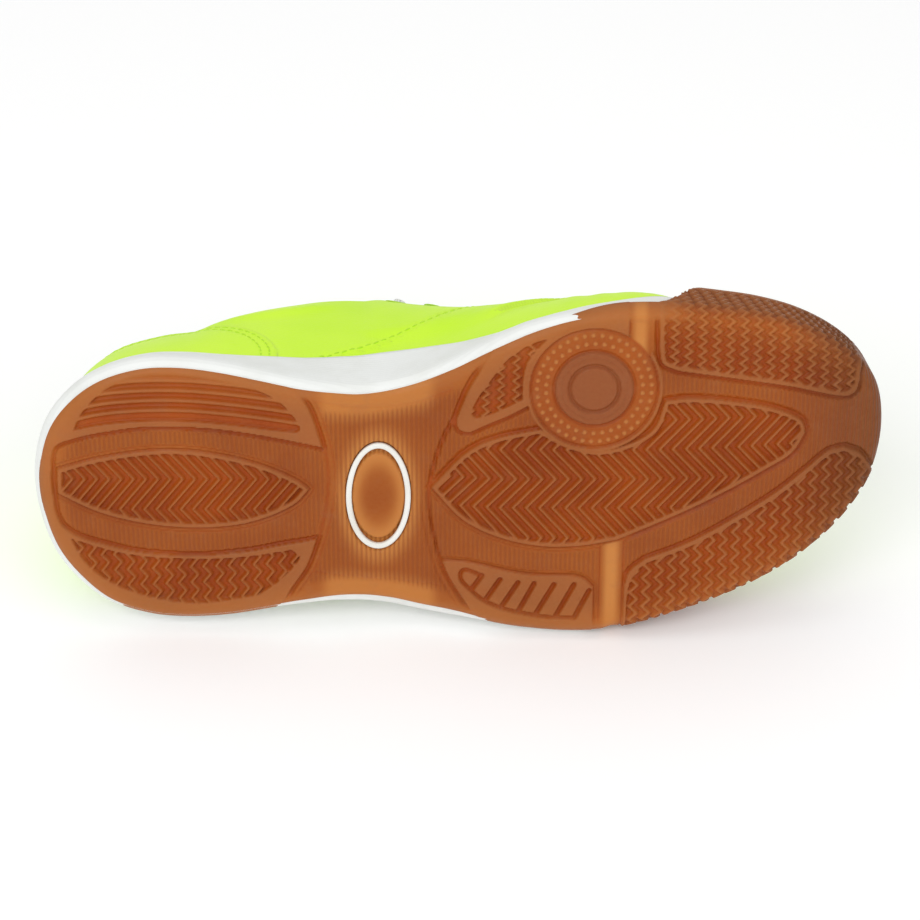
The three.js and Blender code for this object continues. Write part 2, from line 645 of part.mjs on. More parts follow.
// The upper's outer form: each profile rises from the tread edge and leans over to a spine.
// Columns: station share, spine distance to the side as a share of the ball width,
// height as a share of the instep height, fullness of the medial and of the lateral profile.
const SPINE = [
  [0.172, 0.020, 1.04, 1.80, 1.95],
  [0.240, 0.000, 1.30, 2.50, 2.20],
  [0.285, -0.010, 1.42, 2.90, 2.25],
  [0.320, -0.020, 1.48, 3.15, 2.30],
  [0.362, -0.030, 1.36, 3.30, 2.35],
  [0.405, -0.045, 1.20, 3.40, 2.40],
  [0.448, -0.060, 1.08, 3.40, 2.45],
  [0.496, -0.080, 0.97, 3.05, 2.40],
  [0.543, -0.100, 0.87, 2.75, 2.25],
  [0.590, -0.118, 0.78, 2.60, 2.12],
  [0.638, -0.130, 0.695, 2.80, 2.10],
  [0.681, -0.135, 0.630, 2.95, 2.10],
  [0.733, -0.138, 0.560, 2.75, 2.12],
  [0.785, -0.138, 0.505, 2.30, 2.16],
  [0.828, -0.138, 0.470, 2.20, 2.20],
];
// Behind the rear end of the spine the profile leans forward towards the heel's back
const HEEL_BACK_RISE = 1.10;
// Fullness behind the spine's rear end: station share, medial, lateral
const HEEL_FULLNESS = [
  [0.020, 2.20, 2.20],
  [0.070, 1.70, 1.95],
  [0.120, 1.62, 1.90],
];
const SPINE_REAR = SPINE[0][0];
const SPINE_FRONT = SPINE[SPINE.length - 1][0];
const spineColumn = (column) => SPINE.map((row) => [row[0], row[column]]);
const SPINE_SIDE = spineColumn(1);
const SPINE_RISE = spineColumn(2);
const FULL_MEDIAL = [...HEEL_FULLNESS.map(([share, medial]) => [share, medial]), ...spineColumn(3)];
const FULL_LATERAL = [...HEEL_FULLNESS.map(([share, , lateral]) => [share, lateral]), ...spineColumn(4)];
function fullness(share, medial) {
  return along(medial ? FULL_MEDIAL : FULL_LATERAL, share);
}

// A point of the upper's outer form: i is the station, angle runs from 0 at the feather to 1 at the spine
function formPoint(i, angle) {
  const p = stationEdge[i];
  const normal = stationNormals[i];
  const share = p.x / SOLE_LENGTH;
  const base = topReach(share, p.y) - LIP_THICKNESS;
  const baseX = p.x + normal.x * base;
  const baseY = p.y + normal.y * base;
  const baseZ = featherHeight(share, p.y);
  const spineShare = Math.min(SPINE_FRONT, Math.max(SPINE_REAR, share));
  const spineX = spineShare === share ? baseX : spineShare * SOLE_LENGTH;
  const spineY = along(SPINE_SIDE, spineShare) * BALL_WIDTH;
  const behind = clamp01(1 - share / SPINE_REAR);
  const spineZ = along(SPINE_RISE, spineShare) * INSTEP_HEIGHT * mix(1, HEEL_BACK_RISE, behind);
  const full = fullness(share, i < STATIONS);
  const lean = Math.cos((angle * Math.PI) / 2) ** (2 / full);
  const rise = Math.sin((angle * Math.PI) / 2) ** (2 / full);
  return new THREE.Vector3(
    mix(spineX, baseX, lean), mix(spineY, baseY, lean), mix(baseZ, spineZ, rise),
  );
}
const PROFILE_STEPS = [0, 0.18, 0.36, 0.53, 0.69, 0.84, 0.95];
// The outer form moved out by a distance, as a closed solid from a lower level up to its ridge
function formSolid(outward, lowerLevel) {
  const count = stationEdge.length;
  const grid = PROFILE_STEPS.map((angle) => stationEdge.map((_, i) => formPoint(i, angle)));
  const rings = grid.map((ring, r) => ring.map((p, i) => {
    const left = ring[(i + count - 1) % count];
    const right = ring[(i + 1) % count];
    const below = grid[Math.max(0, r - 1)][i];
    const above = grid[Math.min(grid.length - 1, r + 1)][i];
    const across = right.clone().sub(left);
    const upward = above.clone().sub(below);
    const normal = across.cross(upward).normalize();
    if (r === 0) normal.setZ(0).normalize();
    return p.clone().addScaledVector(normal, outward);
  }));
  const bottom = rings[0].map((p) => new THREE.Vector3(p.x, p.y, lowerLevel(p.x / SOLE_LENGTH)));
  return loft([bottom, ...rings]);
}

// Lower part of the midsole's sidewall. Columns: height above the standing surface, reach.
const SIDEWALL_FOOT = [
  [0.6, 2.0],
  [2.0, SIDEWALL_BULGE - 0.6],
  [4.0, SIDEWALL_BULGE],
];
// Midsole: sidewall and footbed, cut by the gum below it and by the upper that it holds
const gumRoom = () => bentSheet(-GUM_THICKNESS, GUM_THICKNESS + CLEARANCE, CLEARANCE * 1.2);
function midsole() {
  const rest = (rise) => (share) => soleHeight(share * SOLE_LENGTH) + rise;
  const footRings = SIDEWALL_FOOT.map(
    ([rise, reach]) => ringAt((share, y) => sidewallReach(share, y, reach), rest(rise)),
  );
  const bulgeRise = SIDEWALL_FOOT.at(-1)[0];
  const middle = (share, y) => mix(rest(bulgeRise)(share), featherHeight(share, y), 0.5);
  const body = loft([
    ...footRings,
    ringAt((share, y) => mix(sidewallReach(share, y, SIDEWALL_BULGE), topReach(share, y), 0.4), middle),
    ringAt(topReach, featherHeight),
  ]);
  const seat = formSolid(CLEARANCE, floorHeight);
  return body.subtract(gumRoom()).subtract(seat);
}

// Insole: a thin sheet on the footbed inside the upper
function insole() {
  const reach = (share, y) => topReach(share, y) - LIP_THICKNESS - UPPER_WALL - CLEARANCE * 1.7;
  const level = (rise) => (share) => floorHeight(share) + rise;
  return loft([
    ringAt(reach, level(CLEARANCE)),
    ringAt(reach, level(CLEARANCE + INSOLE_THICKNESS)),
  ]);
}

// Side-view outlines of the upper's overlays and topline, as shares of sole length and instep height
const QUARTER_FRONT = [
  [0.315, 0.20], [0.350, 0.33], [0.410, 0.47], [0.470, 0.61], [0.520, 0.74], [0.560, 0.95],
];
const COUNTER_TOP = [
  [0.281, 0.20], [0.276, 0.36], [0.256, 0.49], [0.224, 0.575], [0.181, 0.635], [0.142, 0.675],
  [0.07, 0.72], [-0.03, 0.72],
];
const COLLAR_LINE = [
  [-0.06, 0.82], [0.03, 0.820], [0.09, 0.780], [0.15, 0.760], [0.21, 0.790], [0.27, 0.865], [0.32, 0.945],
  [0.37, 1.010], [0.42, 1.050], [0.48, 1.130],
];
// A side-view outline through the rows of a table, rounded between them
function sideOutline(rows, steps = 1) {
  const points = rows.map(([a, b]) => new THREE.Vector3(a * SOLE_LENGTH, b * INSTEP_HEIGHT, 0));
  const curve = new THREE.CatmullRomCurve3(points, false, "centripetal");
  return curve.getPoints(steps * (points.length - 1)).map((p) => [p.x, p.y]);
}
// The strip just above the midsole's lip, from a station back to the heel
function aboveLip(frontShare, y) {
  const line = [];
  const steps = 8;
  for (let i = 0; i <= steps; i += 1) {
    const share = mix(-0.03, frontShare, i / steps);
    line.push([share * SOLE_LENGTH, featherHeight(Math.max(0, share), y) + CLEARANCE * 1.4]);
  }
  return line;
}
function overlayRegion(topEdge, closing) {
  const sides = [-1, 1].map((side) => {
    const front = topEdge[0][0];
    const outline = [...aboveLip(front, side), ...sideOutline(topEdge.slice(1)), ...closing];
    return side < 0 ? sidePrism(outline, -BALL_WIDTH, 0) : sidePrism(outline, 0, BALL_WIDTH);
  });
  return joined(sides);
}

// Plan outline round the throat, a given distance outside its edge
const THROAT_REAR = 0.33;
const THROAT_FRONT = 0.635;
const THROAT_TIP = 5;
const THROAT_FLARE = 7;
const THROAT_FLARE_END = 0.425;
function throatHalf(share) {
  const t = (share - THROAT_REAR) / (THROAT_FRONT - THROAT_REAR);
  const flare = THROAT_FLARE * clamp01((THROAT_FLARE_END - share) / (THROAT_FLARE_END - THROAT_REAR)) ** 2;
  return mix(THROAT_HALF_WIDTH * 1.15, THROAT_HALF_WIDTH * 0.8, t) + flare;
}
function throatOutline(outward, frontOutward) {
  const stations = 8;
  const sides = [[], []];
  for (let i = 0; i <= stations; i += 1) {
    const share = mix(THROAT_REAR, THROAT_FRONT, i / stations);
    const centre = along(SPINE_SIDE, share) * BALL_WIDTH;
    const half = throatHalf(share) + outward;
    sides[0].push([share * SOLE_LENGTH, centre - half]);
    sides[1].push([share * SOLE_LENGTH, centre + half]);
  }
  const tipX = THROAT_FRONT * SOLE_LENGTH + frontOutward;
  const tipY = along(SPINE_SIDE, THROAT_FRONT) * BALL_WIDTH;
  const tipHalf = (throatHalf(THROAT_FRONT) + outward) * 0.55;
  return [...sides[0], [tipX, tipY - tipHalf], [tipX, tipY + tipHalf], ...sides[1].reverse()];
}

// Eyelets in two rows beside the throat
const EYELET_EDGE = 5.5;
function eyeletPlaces() {
  const rows = [];
  for (let i = 0; i < EYELET_ROWS; i += 1) {
    const t = i / (EYELET_ROWS - 1);
    const share = mix(0.610, 0.415, t);
    const centre = along(SPINE_SIDE, share) * BALL_WIDTH;
    const half = throatHalf(share) + EYELET_EDGE;
    rows.push({ x: share * SOLE_LENGTH, centre, half });
  }
  return rows;
}

// Upper: one hollow shell with steps in its wall for quarter, counter and eyestay
const TALL = INSTEP_HEIGHT * 3;
const OPEN_UNDERSIDE = HEEL_FLOOR * 0.5;
function upper() {
  const lowest = (share) => floorHeight(share) + CLEARANCE;
  const vamp = formSolid(0, lowest);
  const quarterEnd = [[0.560 * SOLE_LENGTH, TALL], [-0.03 * SOLE_LENGTH, TALL]];
  const quarter = formSolid(QUARTER_STEP, lowest).intersect(overlayRegion(QUARTER_FRONT, quarterEnd));
  const counter = formSolid(COUNTER_STEP, lowest).intersect(overlayRegion(COUNTER_TOP, []));
  const eyestayArea = prism(throatOutline(EYESTAY_WIDTH, EYESTAY_WIDTH * 0.8), INSTEP_HEIGHT * 0.45, TALL);
  const eyestay = formSolid(EYESTAY_STEP, lowest).intersect(eyestayArea);
  let shell = joined([vamp, quarter, counter, eyestay]);
  shell = shell.subtract(formSolid(-UPPER_WALL, (share) => floorHeight(share) - OPEN_UNDERSIDE));
  const collarEnds = [COLLAR_LINE.at(-1), COLLAR_LINE[0]].map(([share]) => [share * SOLE_LENGTH, TALL]);
  const collar = [...sideOutline(COLLAR_LINE, 3), ...collarEnds];
  shell = shell.subtract(sidePrism(collar, -BALL_WIDTH, BALL_WIDTH));
  shell = shell.subtract(prism(throatOutline(0, THROAT_TIP), INSTEP_HEIGHT * 0.4, TALL));
  for (const { x, centre, half } of eyeletPlaces()) {
    for (const side of [-1, 1]) {
      const hole = circle(x, centre + side * half, EYELET_RADIUS, EYELET_RADIUS, 8);
      shell = shell.subtract(prism(hole, INSTEP_HEIGHT * 0.4, TALL));
    }
  }
  return shell;
}

// Tongue: a padded sheet just under the upper, from the vamp to above the collar
const TONGUE_REAR = 0.30;
const TONGUE_FRONT = 0.672;
const TONGUE_TOP = 0.375;
const TONGUE_END_LEAN = 0.72;
const TONGUE_NARROWING = 0.72;
function tongue() {
  const outer = formSolid(-UPPER_WALL - CLEARANCE, () => INSTEP_HEIGHT * 0.25);
  const inner = formSolid(-UPPER_WALL - CLEARANCE - TONGUE_THICKNESS, () => INSTEP_HEIGHT * 0.15);
  const outline = [];
  const stations = 5;
  for (const side of [-1, 1]) {
    const line = [];
    for (let i = 0; i <= stations; i += 1) {
      const share = mix(TONGUE_REAR, TONGUE_FRONT, i / stations);
      const half = TONGUE_HALF_WIDTH * mix(1, TONGUE_NARROWING, i / stations);
      line.push([share * SOLE_LENGTH, along(SPINE_SIDE, share) * BALL_WIDTH + side * half]);
    }
    outline.push(...(side < 0 ? line : line.reverse()));
  }
  const topX = TONGUE_TOP * SOLE_LENGTH;
  const topZ = along(SPINE_RISE, TONGUE_TOP) * INSTEP_HEIGHT;
  const lean = TALL * TONGUE_END_LEAN;
  const beyond = [[topX - lean, topZ - TALL], [topX + lean, topZ + TALL], [-TALL, TALL * 2]];
  return outer.subtract(inner).intersect(prism(outline, INSTEP_HEIGHT * 0.5, TALL))
    .subtract(sidePrism(beyond, -BALL_WIDTH, BALL_WIDTH));
}

// Height of the upper's outer form over a plan position
function formHeight(x, y) {
  const share = x / SOLE_LENGTH;
  const spineY = along(SPINE_SIDE, share) * BALL_WIDTH;
  const spineZ = along(SPINE_RISE, share) * INSTEP_HEIGHT;
  const full = fullness(share, y < spineY);
  const count = stationEdge.length;
  const stationOf = (k) => (y < spineY ? k : (count - k) % count);
  let k = 1;
  while (k < STATIONS - 1 && formPoint(stationOf(k), 0).x < x) k += 1;
  const rear = formPoint(stationOf(k - 1), 0);
  const front = formPoint(stationOf(k), 0);
  const base = rear.lerp(front, (x - rear.x) / (front.x - rear.x));
  const lean = Math.min(1, Math.abs((y - spineY) / (base.y - spineY)));
  return mix(base.z, spineZ, (1 - lean ** full) ** (1 / full));
}
function overForm(x, y, outward) {
  const step = 0.5;
  const slopeX = (formHeight(x + step, y) - formHeight(x - step, y)) / (2 * step);
  const slopeY = (formHeight(x, y + step) - formHeight(x, y - step)) / (2 * step);
  const normal = new THREE.Vector3(-slopeX, -slopeY, 1).normalize();
  const point = new THREE.Vector3(x, y, formHeight(x, y)).addScaledVector(normal, outward);
  return { point, normal };
}

// Lace: a straight bar over the tongue between each pair of eyelets
const LACE_SLACK = 0.8;
const LACE_LIFT = EYESTAY_STEP + CLEARANCE + LACE_THICKNESS / 2 + LACE_SLACK;
function laceBar(fromX, fromY, toX, toY) {
  const steps = 5;
  const places = [];
  for (let i = 0; i <= steps; i += 1) {
    const t = i / steps;
    places.push(overForm(mix(fromX, toX, t), mix(fromY, toY, t), LACE_LIFT));
  }
  const positions = [];
  places.forEach(({ point, normal }, i) => {
    const next = places[Math.min(steps, i + 1)].point;
    const last = places[Math.max(0, i - 1)].point;
    const way = next.clone().sub(last).normalize();
    const across = normal.clone().cross(way).normalize();
    for (const [a, b] of [[-1, -1], [1, -1], [1, 1], [-1, 1]]) {
      const corner = point.clone()
        .addScaledVector(across, (a * LACE_WIDTH) / 2)
        .addScaledVector(normal, (b * LACE_THICKNESS) / 2);
      positions.push(corner.x, corner.y, corner.z);
    }
  });
  const index = [0, 2, 1, 0, 3, 2];
  for (let i = 0; i < steps; i += 1) {
    for (let k = 0; k < 4; k += 1) {
      const a = i * 4 + k;
      const b = i * 4 + ((k + 1) % 4);
      index.push(a, b, b + 4, a, b + 4, a + 4);
    }
  }
  const last = steps * 4;
  index.push(last, last + 1, last + 2, last, last + 2, last + 3);
  const geometry = new THREE.BufferGeometry();
  geometry.setAttribute("position", new THREE.Float32BufferAttribute(positions, 3));
  geometry.setIndex(index);
  return solidFrom(geometry);
}
function laceBarOfRow(row) {
  const { x, centre, half } = eyeletPlaces()[row];
  return laceBar(x, centre - half, x, centre + half);
}

// Each piece with its colour, roughness and density in grams per cubic centimetre
const PIECES = [
  ["outsole", outsole, 0xb0612c, 0.45, 1.05],
  ["oval_ring", ovalRing, 0xf2f3ef, 0.5, 1.05],
  ["midsole", midsole, 0xe4e6e2, 0.6, 0.55],
  ["insole", insole, 0x3c3f42, 0.9, 0.15],
  ["upper", upper, 0xc8f53c, 0.5, 0.85],
  ["tongue", tongue, 0xc2ec40, 0.8, 0.2],
];
for (let row = 0; row < EYELET_ROWS; row += 1) {
  PIECES.push([`lace_bar_${row + 1}`, () => laceBarOfRow(row), 0xf0f2ea, 0.85, 0.8]);
}
const standing = new THREE.Group();
const weights = [];
for (const [name, make, color, roughness, density] of PIECES) {
  const geometry = geometryFrom(make());
  geometry.computeVertexNormals();
  const material = new THREE.MeshStandardMaterial({ color, roughness, metalness: 0 });
  const mesh = new THREE.Mesh(geometry, material);
  mesh.name = name;
  standing.add(mesh);
  weights.push({ geometry, density });
}

// Centre of mass of the standing shoe
function massCentre(pieces) {
  const centre = new THREE.Vector3();
  let mass = 0;
  for (const { geometry, density } of pieces) {
    const { position } = geometry.attributes;
    const { index } = geometry;
    for (let i = 0; i < index.count; i += 3) {
      const corner = (k) => new THREE.Vector3().fromBufferAttribute(position, index.getX(i + k));
      const [a, b, c] = [0, 1, 2].map(corner);
      const part = (density * a.dot(b.clone().cross(c))) / 6;
      mass += part;
      centre.addScaledVector(a.add(b).add(c), part / 4);
    }
  }
  return centre.divideScalar(mass);
}

// The turn that lays the shoe on the flat that its lateral side rests on: the face of its convex
// hull straight below its centre of mass
function layingTurn() {
  const points = [];
  for (const { geometry } of weights) {
    const { position } = geometry.attributes;
    for (let i = 0; i < position.count; i += 1) {
      points.push(new THREE.Vector3().fromBufferAttribute(position, i));
    }
  }
  const hull = new ConvexHull().setFromPoints(points);
  const centre = massCentre(weights);
  let down = new THREE.Vector3(0, 1, 0);
  for (let round = 0; round < 6; round += 1) {
    const ray = new THREE.Ray(centre, down.clone());
    let hit = null;
    for (const face of hull.faces) {
      const facing = face.normal.dot(ray.direction);
      if (facing < 1e-6) continue;
      const distance = (face.constant - centre.dot(face.normal)) / facing;
      if (hit === null || distance < hit.distance) hit = { distance, normal: face.normal.clone() };
    }
    if (hit.normal.angleTo(down) < 1e-6) break;
    down = hit.normal;
  }
  return new THREE.Quaternion().setFromUnitVectors(down, new THREE.Vector3(0, 0, -1));
}
standing.applyQuaternion(layingTurn());
standing.updateMatrixWorld(true);

// The heel points to -X; then the box's bottom centre is the origin
const shoe = new THREE.Group();
shoe.add(standing);
const toeWay = new THREE.Vector3(1, 0, 0).applyQuaternion(standing.quaternion);
const upright = new THREE.Vector3(0, 0, 1);
const heading = Math.atan2(toeWay.y, toeWay.x);
standing.applyQuaternion(new THREE.Quaternion().setFromAxisAngle(upright, -heading));
shoe.updateMatrixWorld(true);
const box = new THREE.Box3().setFromObject(shoe, true);
standing.position.set(-(box.min.x + box.max.x) / 2, -(box.min.y + box.max.y) / 2, -box.min.z);
shoe.updateMatrixWorld(true);

export default shoe;
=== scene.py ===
import json
import math

import bpy
import numpy as np
from mathutils import Matrix, Vector

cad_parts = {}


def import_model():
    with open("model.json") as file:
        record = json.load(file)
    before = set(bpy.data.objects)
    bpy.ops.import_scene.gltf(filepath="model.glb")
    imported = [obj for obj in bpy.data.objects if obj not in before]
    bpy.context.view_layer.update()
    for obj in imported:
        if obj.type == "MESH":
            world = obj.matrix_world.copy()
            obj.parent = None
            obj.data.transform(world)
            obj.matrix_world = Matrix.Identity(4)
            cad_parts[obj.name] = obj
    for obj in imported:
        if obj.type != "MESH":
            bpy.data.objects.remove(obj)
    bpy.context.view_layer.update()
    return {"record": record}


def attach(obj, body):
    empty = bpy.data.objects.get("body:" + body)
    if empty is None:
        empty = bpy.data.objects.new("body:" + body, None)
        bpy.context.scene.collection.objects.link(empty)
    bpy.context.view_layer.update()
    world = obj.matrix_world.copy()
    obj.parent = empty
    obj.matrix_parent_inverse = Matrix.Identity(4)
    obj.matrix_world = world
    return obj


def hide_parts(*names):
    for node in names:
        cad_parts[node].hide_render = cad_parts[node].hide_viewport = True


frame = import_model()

# Driving sizes of the shoe, in millimetres
SOLE_LENGTH = 232.0
HEEL_WIDTH = 76.0
WAIST_WIDTH = 63.0
BALL_WIDTH = 98.0
TOE_SPRING = 11.0
ARCH_LIFT = 3.0
HEEL_BEVEL = 1.6
GUM_THICKNESS = 3.4
WRAP_THICKNESS = 2.2
CURL_RADIUS = 5.0
CURL_REACH = 4.5
WRAP_HEIGHT = 19.0
WRAP_ANGLE = 1.62
CLEARANCE = 0.3
CHANNEL_DEPTH = 0.45
POCKET_DEPTH = 1.5
LIP_MARGIN = 1.6
RIM_WIDTH = 1.3
OVAL_HALF_LENGTH = 16.0
OVAL_HALF_WIDTH = 8.9
OVAL_RING_WIDTH = 1.6
HEEL_FLOOR = 11.0
BALL_FLOOR = 7.5
HEEL_FEATHER = 15.0
ARCH_FEATHER = 20.0
BALL_FEATHER = 11.5
TOE_FEATHER = 15.0
LIP_THICKNESS = 2.4
SIDEWALL_BULGE = 5.5
INSOLE_THICKNESS = 3.0
UPPER_WALL = 2.4
QUARTER_STEP = 0.9
COUNTER_STEP = 1.7
EYESTAY_STEP = 1.6
INSTEP_HEIGHT = 73.0
THROAT_HALF_WIDTH = 13.0
EYESTAY_WIDTH = 15.0
EYELET_RADIUS = 2.2
EYELET_ROWS = 5
EYELET_EDGE = 5.5
TONGUE_THICKNESS = 4.0
TONGUE_HALF_WIDTH = 21.5
LACE_WIDTH = 6.0
LACE_THICKNESS = 1.4
PIVOT_CENTRE = (0.652 * SOLE_LENGTH, -0.300 * BALL_WIDTH)
OVAL_CENTRE = (0.400 * SOLE_LENGTH, 0.038 * BALL_WIDTH)

# Shoe coordinates: millimetres, X from heel to toe, +Y lateral, +Z up from the standing plane.
# The two flat spots of the record place them in the row's frame.
MM = 0.001
HEEL_FLAT = np.array([40.0, 27.0, 0.0])
FORE_FLAT = np.array([*PIVOT_CENTRE, 0.0])
mounts = {m["name"]: m for m in frame["record"]["mounts"]}


def unit(vectors):
    return vectors / np.linalg.norm(vectors, axis=-1, keepdims=True)


def shoe_frame():
    heel = np.array(mounts["heel_flat"]["pos_m"])
    fore = np.array(mounts["forefoot_flat"]["pos_m"])
    up = unit(-np.array(mounts["heel_flat"]["axis"]))
    way = fore - heel
    way = unit(way - up * way.dot(up))
    side = np.cross(up, way)
    turn = math.atan2(FORE_FLAT[1] - HEEL_FLAT[1], FORE_FLAT[0] - HEEL_FLAT[0])
    x_axis = math.cos(turn) * way - math.sin(turn) * side
    y_axis = np.cross(up, x_axis)
    turned = np.stack([x_axis, y_axis, up], axis=1)
    return turned, heel - turned @ (HEEL_FLAT * MM)


TURNED, ORIGIN = shoe_frame()


def world(points):
    return np.asarray(points) * MM @ TURNED.T + ORIGIN


def mix(a, b, t):
    return a + (b - a) * t


def smooth(low, high, value):
    t = np.clip((np.asarray(value, float) - low) / (high - low), 0, 1)
    return t * t * (3 - 2 * t)


def along(rows, share):
    """A value eased between the rows of a [share, value] table."""
    rows = np.asarray(rows, float)
    xs, vs = rows[:, 0], rows[:, 1]
    share = np.clip(np.asarray(share, float), xs[0], xs[-1])
    i = np.clip(np.searchsorted(xs, share, side="left"), 1, len(xs) - 1)
    before, after = np.maximum(i - 2, 0), np.minimum(i + 1, len(xs) - 1)
    gap = xs[i] - xs[i - 1]
    slope_a = (vs[i] - vs[before]) / (xs[i] - xs[before]) * gap
    slope_b = (vs[after] - vs[i - 1]) / (xs[after] - xs[i - 1]) * gap
    t = (share - xs[i - 1]) / gap
    t2, t3 = t * t, t * t * t
    return (vs[i - 1] * (2 * t3 - 3 * t2 + 1) + slope_a * (t3 - 2 * t2 + t)
            + vs[i] * (3 * t2 - 2 * t3) + slope_b * (t3 - t2))


def spline(points, steps, closed=False):
    """Centripetal curve through the points."""
    p = np.asarray(points, float)
    n = len(p)
    if n < 3 and not closed:
        return p
    if closed:
        get = lambda k: p[k % n]
        spans = n
    else:
        ends = {-1: 2 * p[0] - p[1], n: 2 * p[-1] - p[-2]}
        get = lambda k: ends[k] if k in ends else p[k]
        spans = n - 1
    out = []
    t = np.linspace(0, 1, steps + 1)[:-1, None]
    for k in range(spans):
        p0, p1, p2, p3 = get(k - 1), get(k), get(k + 1), get(k + 2)
        d0, d1, d2 = (max(np.linalg.norm(b - a), 1e-6) ** 0.5 for a, b in ((p0, p1), (p1, p2), (p2, p3)))
        m1 = ((p1 - p0) / d0 - (p2 - p0) / (d0 + d1) + (p2 - p1) / d1) * d1
        m2 = ((p2 - p1) / d1 - (p3 - p1) / (d1 + d2) + (p3 - p2) / d2) * d1
        out.append(p1 + m1 * t + (-3 * p1 + 3 * p2 - 2 * m1 - m2) * t ** 2 + (2 * p1 - 2 * p2 + m1 + m2) * t ** 3)
    line = np.concatenate(out)
    return line if closed else np.concatenate([line, p[-1:]])


# Tread edge, in thousandths: place along the sole, medial and lateral distance as shares of the width named.
TREAD_EDGE = [
    (HEEL_WIDTH, [
        [30, -197, 210], [56, -309, 336], [86, -375, 421], [130, -417, 468], [172, -421, 478],
        [216, -403, 470],
    ]),
    (WAIST_WIDTH, [
        [259, -452, 540], [302, -416, 508], [345, -390, 487], [379, -376, 492], [414, -387, 514],
        [453, -425, 548],
    ]),
    (BALL_WIDTH, [
        [496, -319, 369], [539, -378, 392], [582, -429, 408], [625, -466, 416], [668, -488, 412],
        [711, -494, 390], [754, -487, 358], [797, -472, 322], [841, -451, 278], [884, -416, 221],
        [922, -366, 149], [950, -310, 72], [969, -246, -12],
    ]),
]
HEEL_TIP = [0.017 * SOLE_LENGTH, -0.007 * HEEL_WIDTH]
TOE_TIP = [0.977 * SOLE_LENGTH, -0.132 * BALL_WIDTH]
sides = [[(row[0] / 1000 * SOLE_LENGTH, row[k] / 1000 * width) for width, rows in TREAD_EDGE for row in rows]
         for k in (1, 2)]
edge_points = [HEEL_TIP, *sides[0], TOE_TIP, *reversed(sides[1])]
raw_edge = spline(edge_points, 24, closed=True)


def resample(line, count, closed=False):
    line = np.asarray(line, float)
    if closed:
        line = np.concatenate([line, line[:1]])
    lengths = np.concatenate([[0], np.cumsum(np.linalg.norm(np.diff(line, axis=0), axis=1))])
    target = np.linspace(0, lengths[-1], count + 1)
    if closed:
        target = target[:-1]
    return np.stack([np.interp(target, lengths, line[:, k]) for k in range(line.shape[1])], axis=1)


EDGE = resample(raw_edge, 900, closed=True)


def to_segments(px, py, a, b):
    """Nearest place on each segment from a to b, and the squared distance to it."""
    d = b - a
    t = ((px - a[:, 0]) * d[:, 0] + (py - a[:, 1]) * d[:, 1]) / np.maximum((d ** 2).sum(1), 1e-12)
    t = np.clip(t, 0, 1)
    qx, qy = a[:, 0] + t * d[:, 0], a[:, 1] + t * d[:, 1]
    return qx, qy, (px - qx) ** 2 + (py - qy) ** 2


def within(px, py, a, b):
    """-1 for points inside the closed outline of the segments, 1 outside."""
    d = b - a
    crossing = d[:, 0] * (py - a[:, 1]) / np.where(d[:, 1] == 0, 1e-9, d[:, 1]) + a[:, 0]
    crossed = ((a[:, 1] > py) != (b[:, 1] > py)) & (px < crossing)
    return np.where(crossed.sum(1) % 2 == 1, -1, 1)


def nearest_edge(x, y):
    """Signed distance outside the tread edge, and the foot point."""
    dist = np.empty(len(x))
    foot = np.empty((len(x), 2))
    a, b = EDGE, np.roll(EDGE, -1, axis=0)
    for start in range(0, len(x), 4000):
        part = slice(start, start + 4000)
        px, py = x[part, None], y[part, None]
        qx, qy, gap = to_segments(px, py, a, b)
        k = gap.argmin(1)
        r = np.arange(len(k))
        dist[part] = within(px, py, a, b) * np.sqrt(gap[r, k])
        foot[part] = np.stack([qx[r, k], qy[r, k]], 1)
    return dist, foot


BEVEL_END = 0.06
ARCH_CENTRE = 0.435
ARCH_HALF = 0.13
SPRING_START = 0.68


def sole_height(x):
    share = np.asarray(x, float) / SOLE_LENGTH
    height = HEEL_BEVEL * np.clip((BEVEL_END - share) / BEVEL_END, 0, None) ** 2
    arch = np.clip((share - ARCH_CENTRE) / ARCH_HALF, -1, 1)
    height = height + ARCH_LIFT * (0.5 + 0.5 * np.cos(np.pi * arch))
    return height + TOE_SPRING * np.clip((share - SPRING_START) / (1 - SPRING_START), 0, None) ** 2


WRAP_START_MEDIAL = 0.722
WRAP_START_LATERAL = 0.66
WRAP_RAMP_MEDIAL = 0.055
WRAP_RAMP_LATERAL = 0.028
WRAP_CURL = CURL_RADIUS * WRAP_ANGLE
WRAP_STRAIGHT = (WRAP_HEIGHT - CURL_RADIUS * (1 - math.cos(WRAP_ANGLE))) / math.sin(WRAP_ANGLE)


def wrap_share(x, y, lead=0.0):
    medial = np.asarray(y) < -0.1 * BALL_WIDTH
    start = np.where(medial, WRAP_START_MEDIAL, WRAP_START_LATERAL) - lead
    t = np.clip((np.asarray(x) / SOLE_LENGTH - start) / np.where(medial, WRAP_RAMP_MEDIAL, WRAP_RAMP_LATERAL), 0, 1)
    return t * t * (3 - 2 * t)


def sheet_reach(x, y):
    low = CURL_REACH + np.where(np.asarray(y) < 0, 2.0 * smooth(0.60, 0.69, np.asarray(x) / SOLE_LENGTH), 0)
    return mix(low, WRAP_CURL + WRAP_STRAIGHT, wrap_share(x, y))


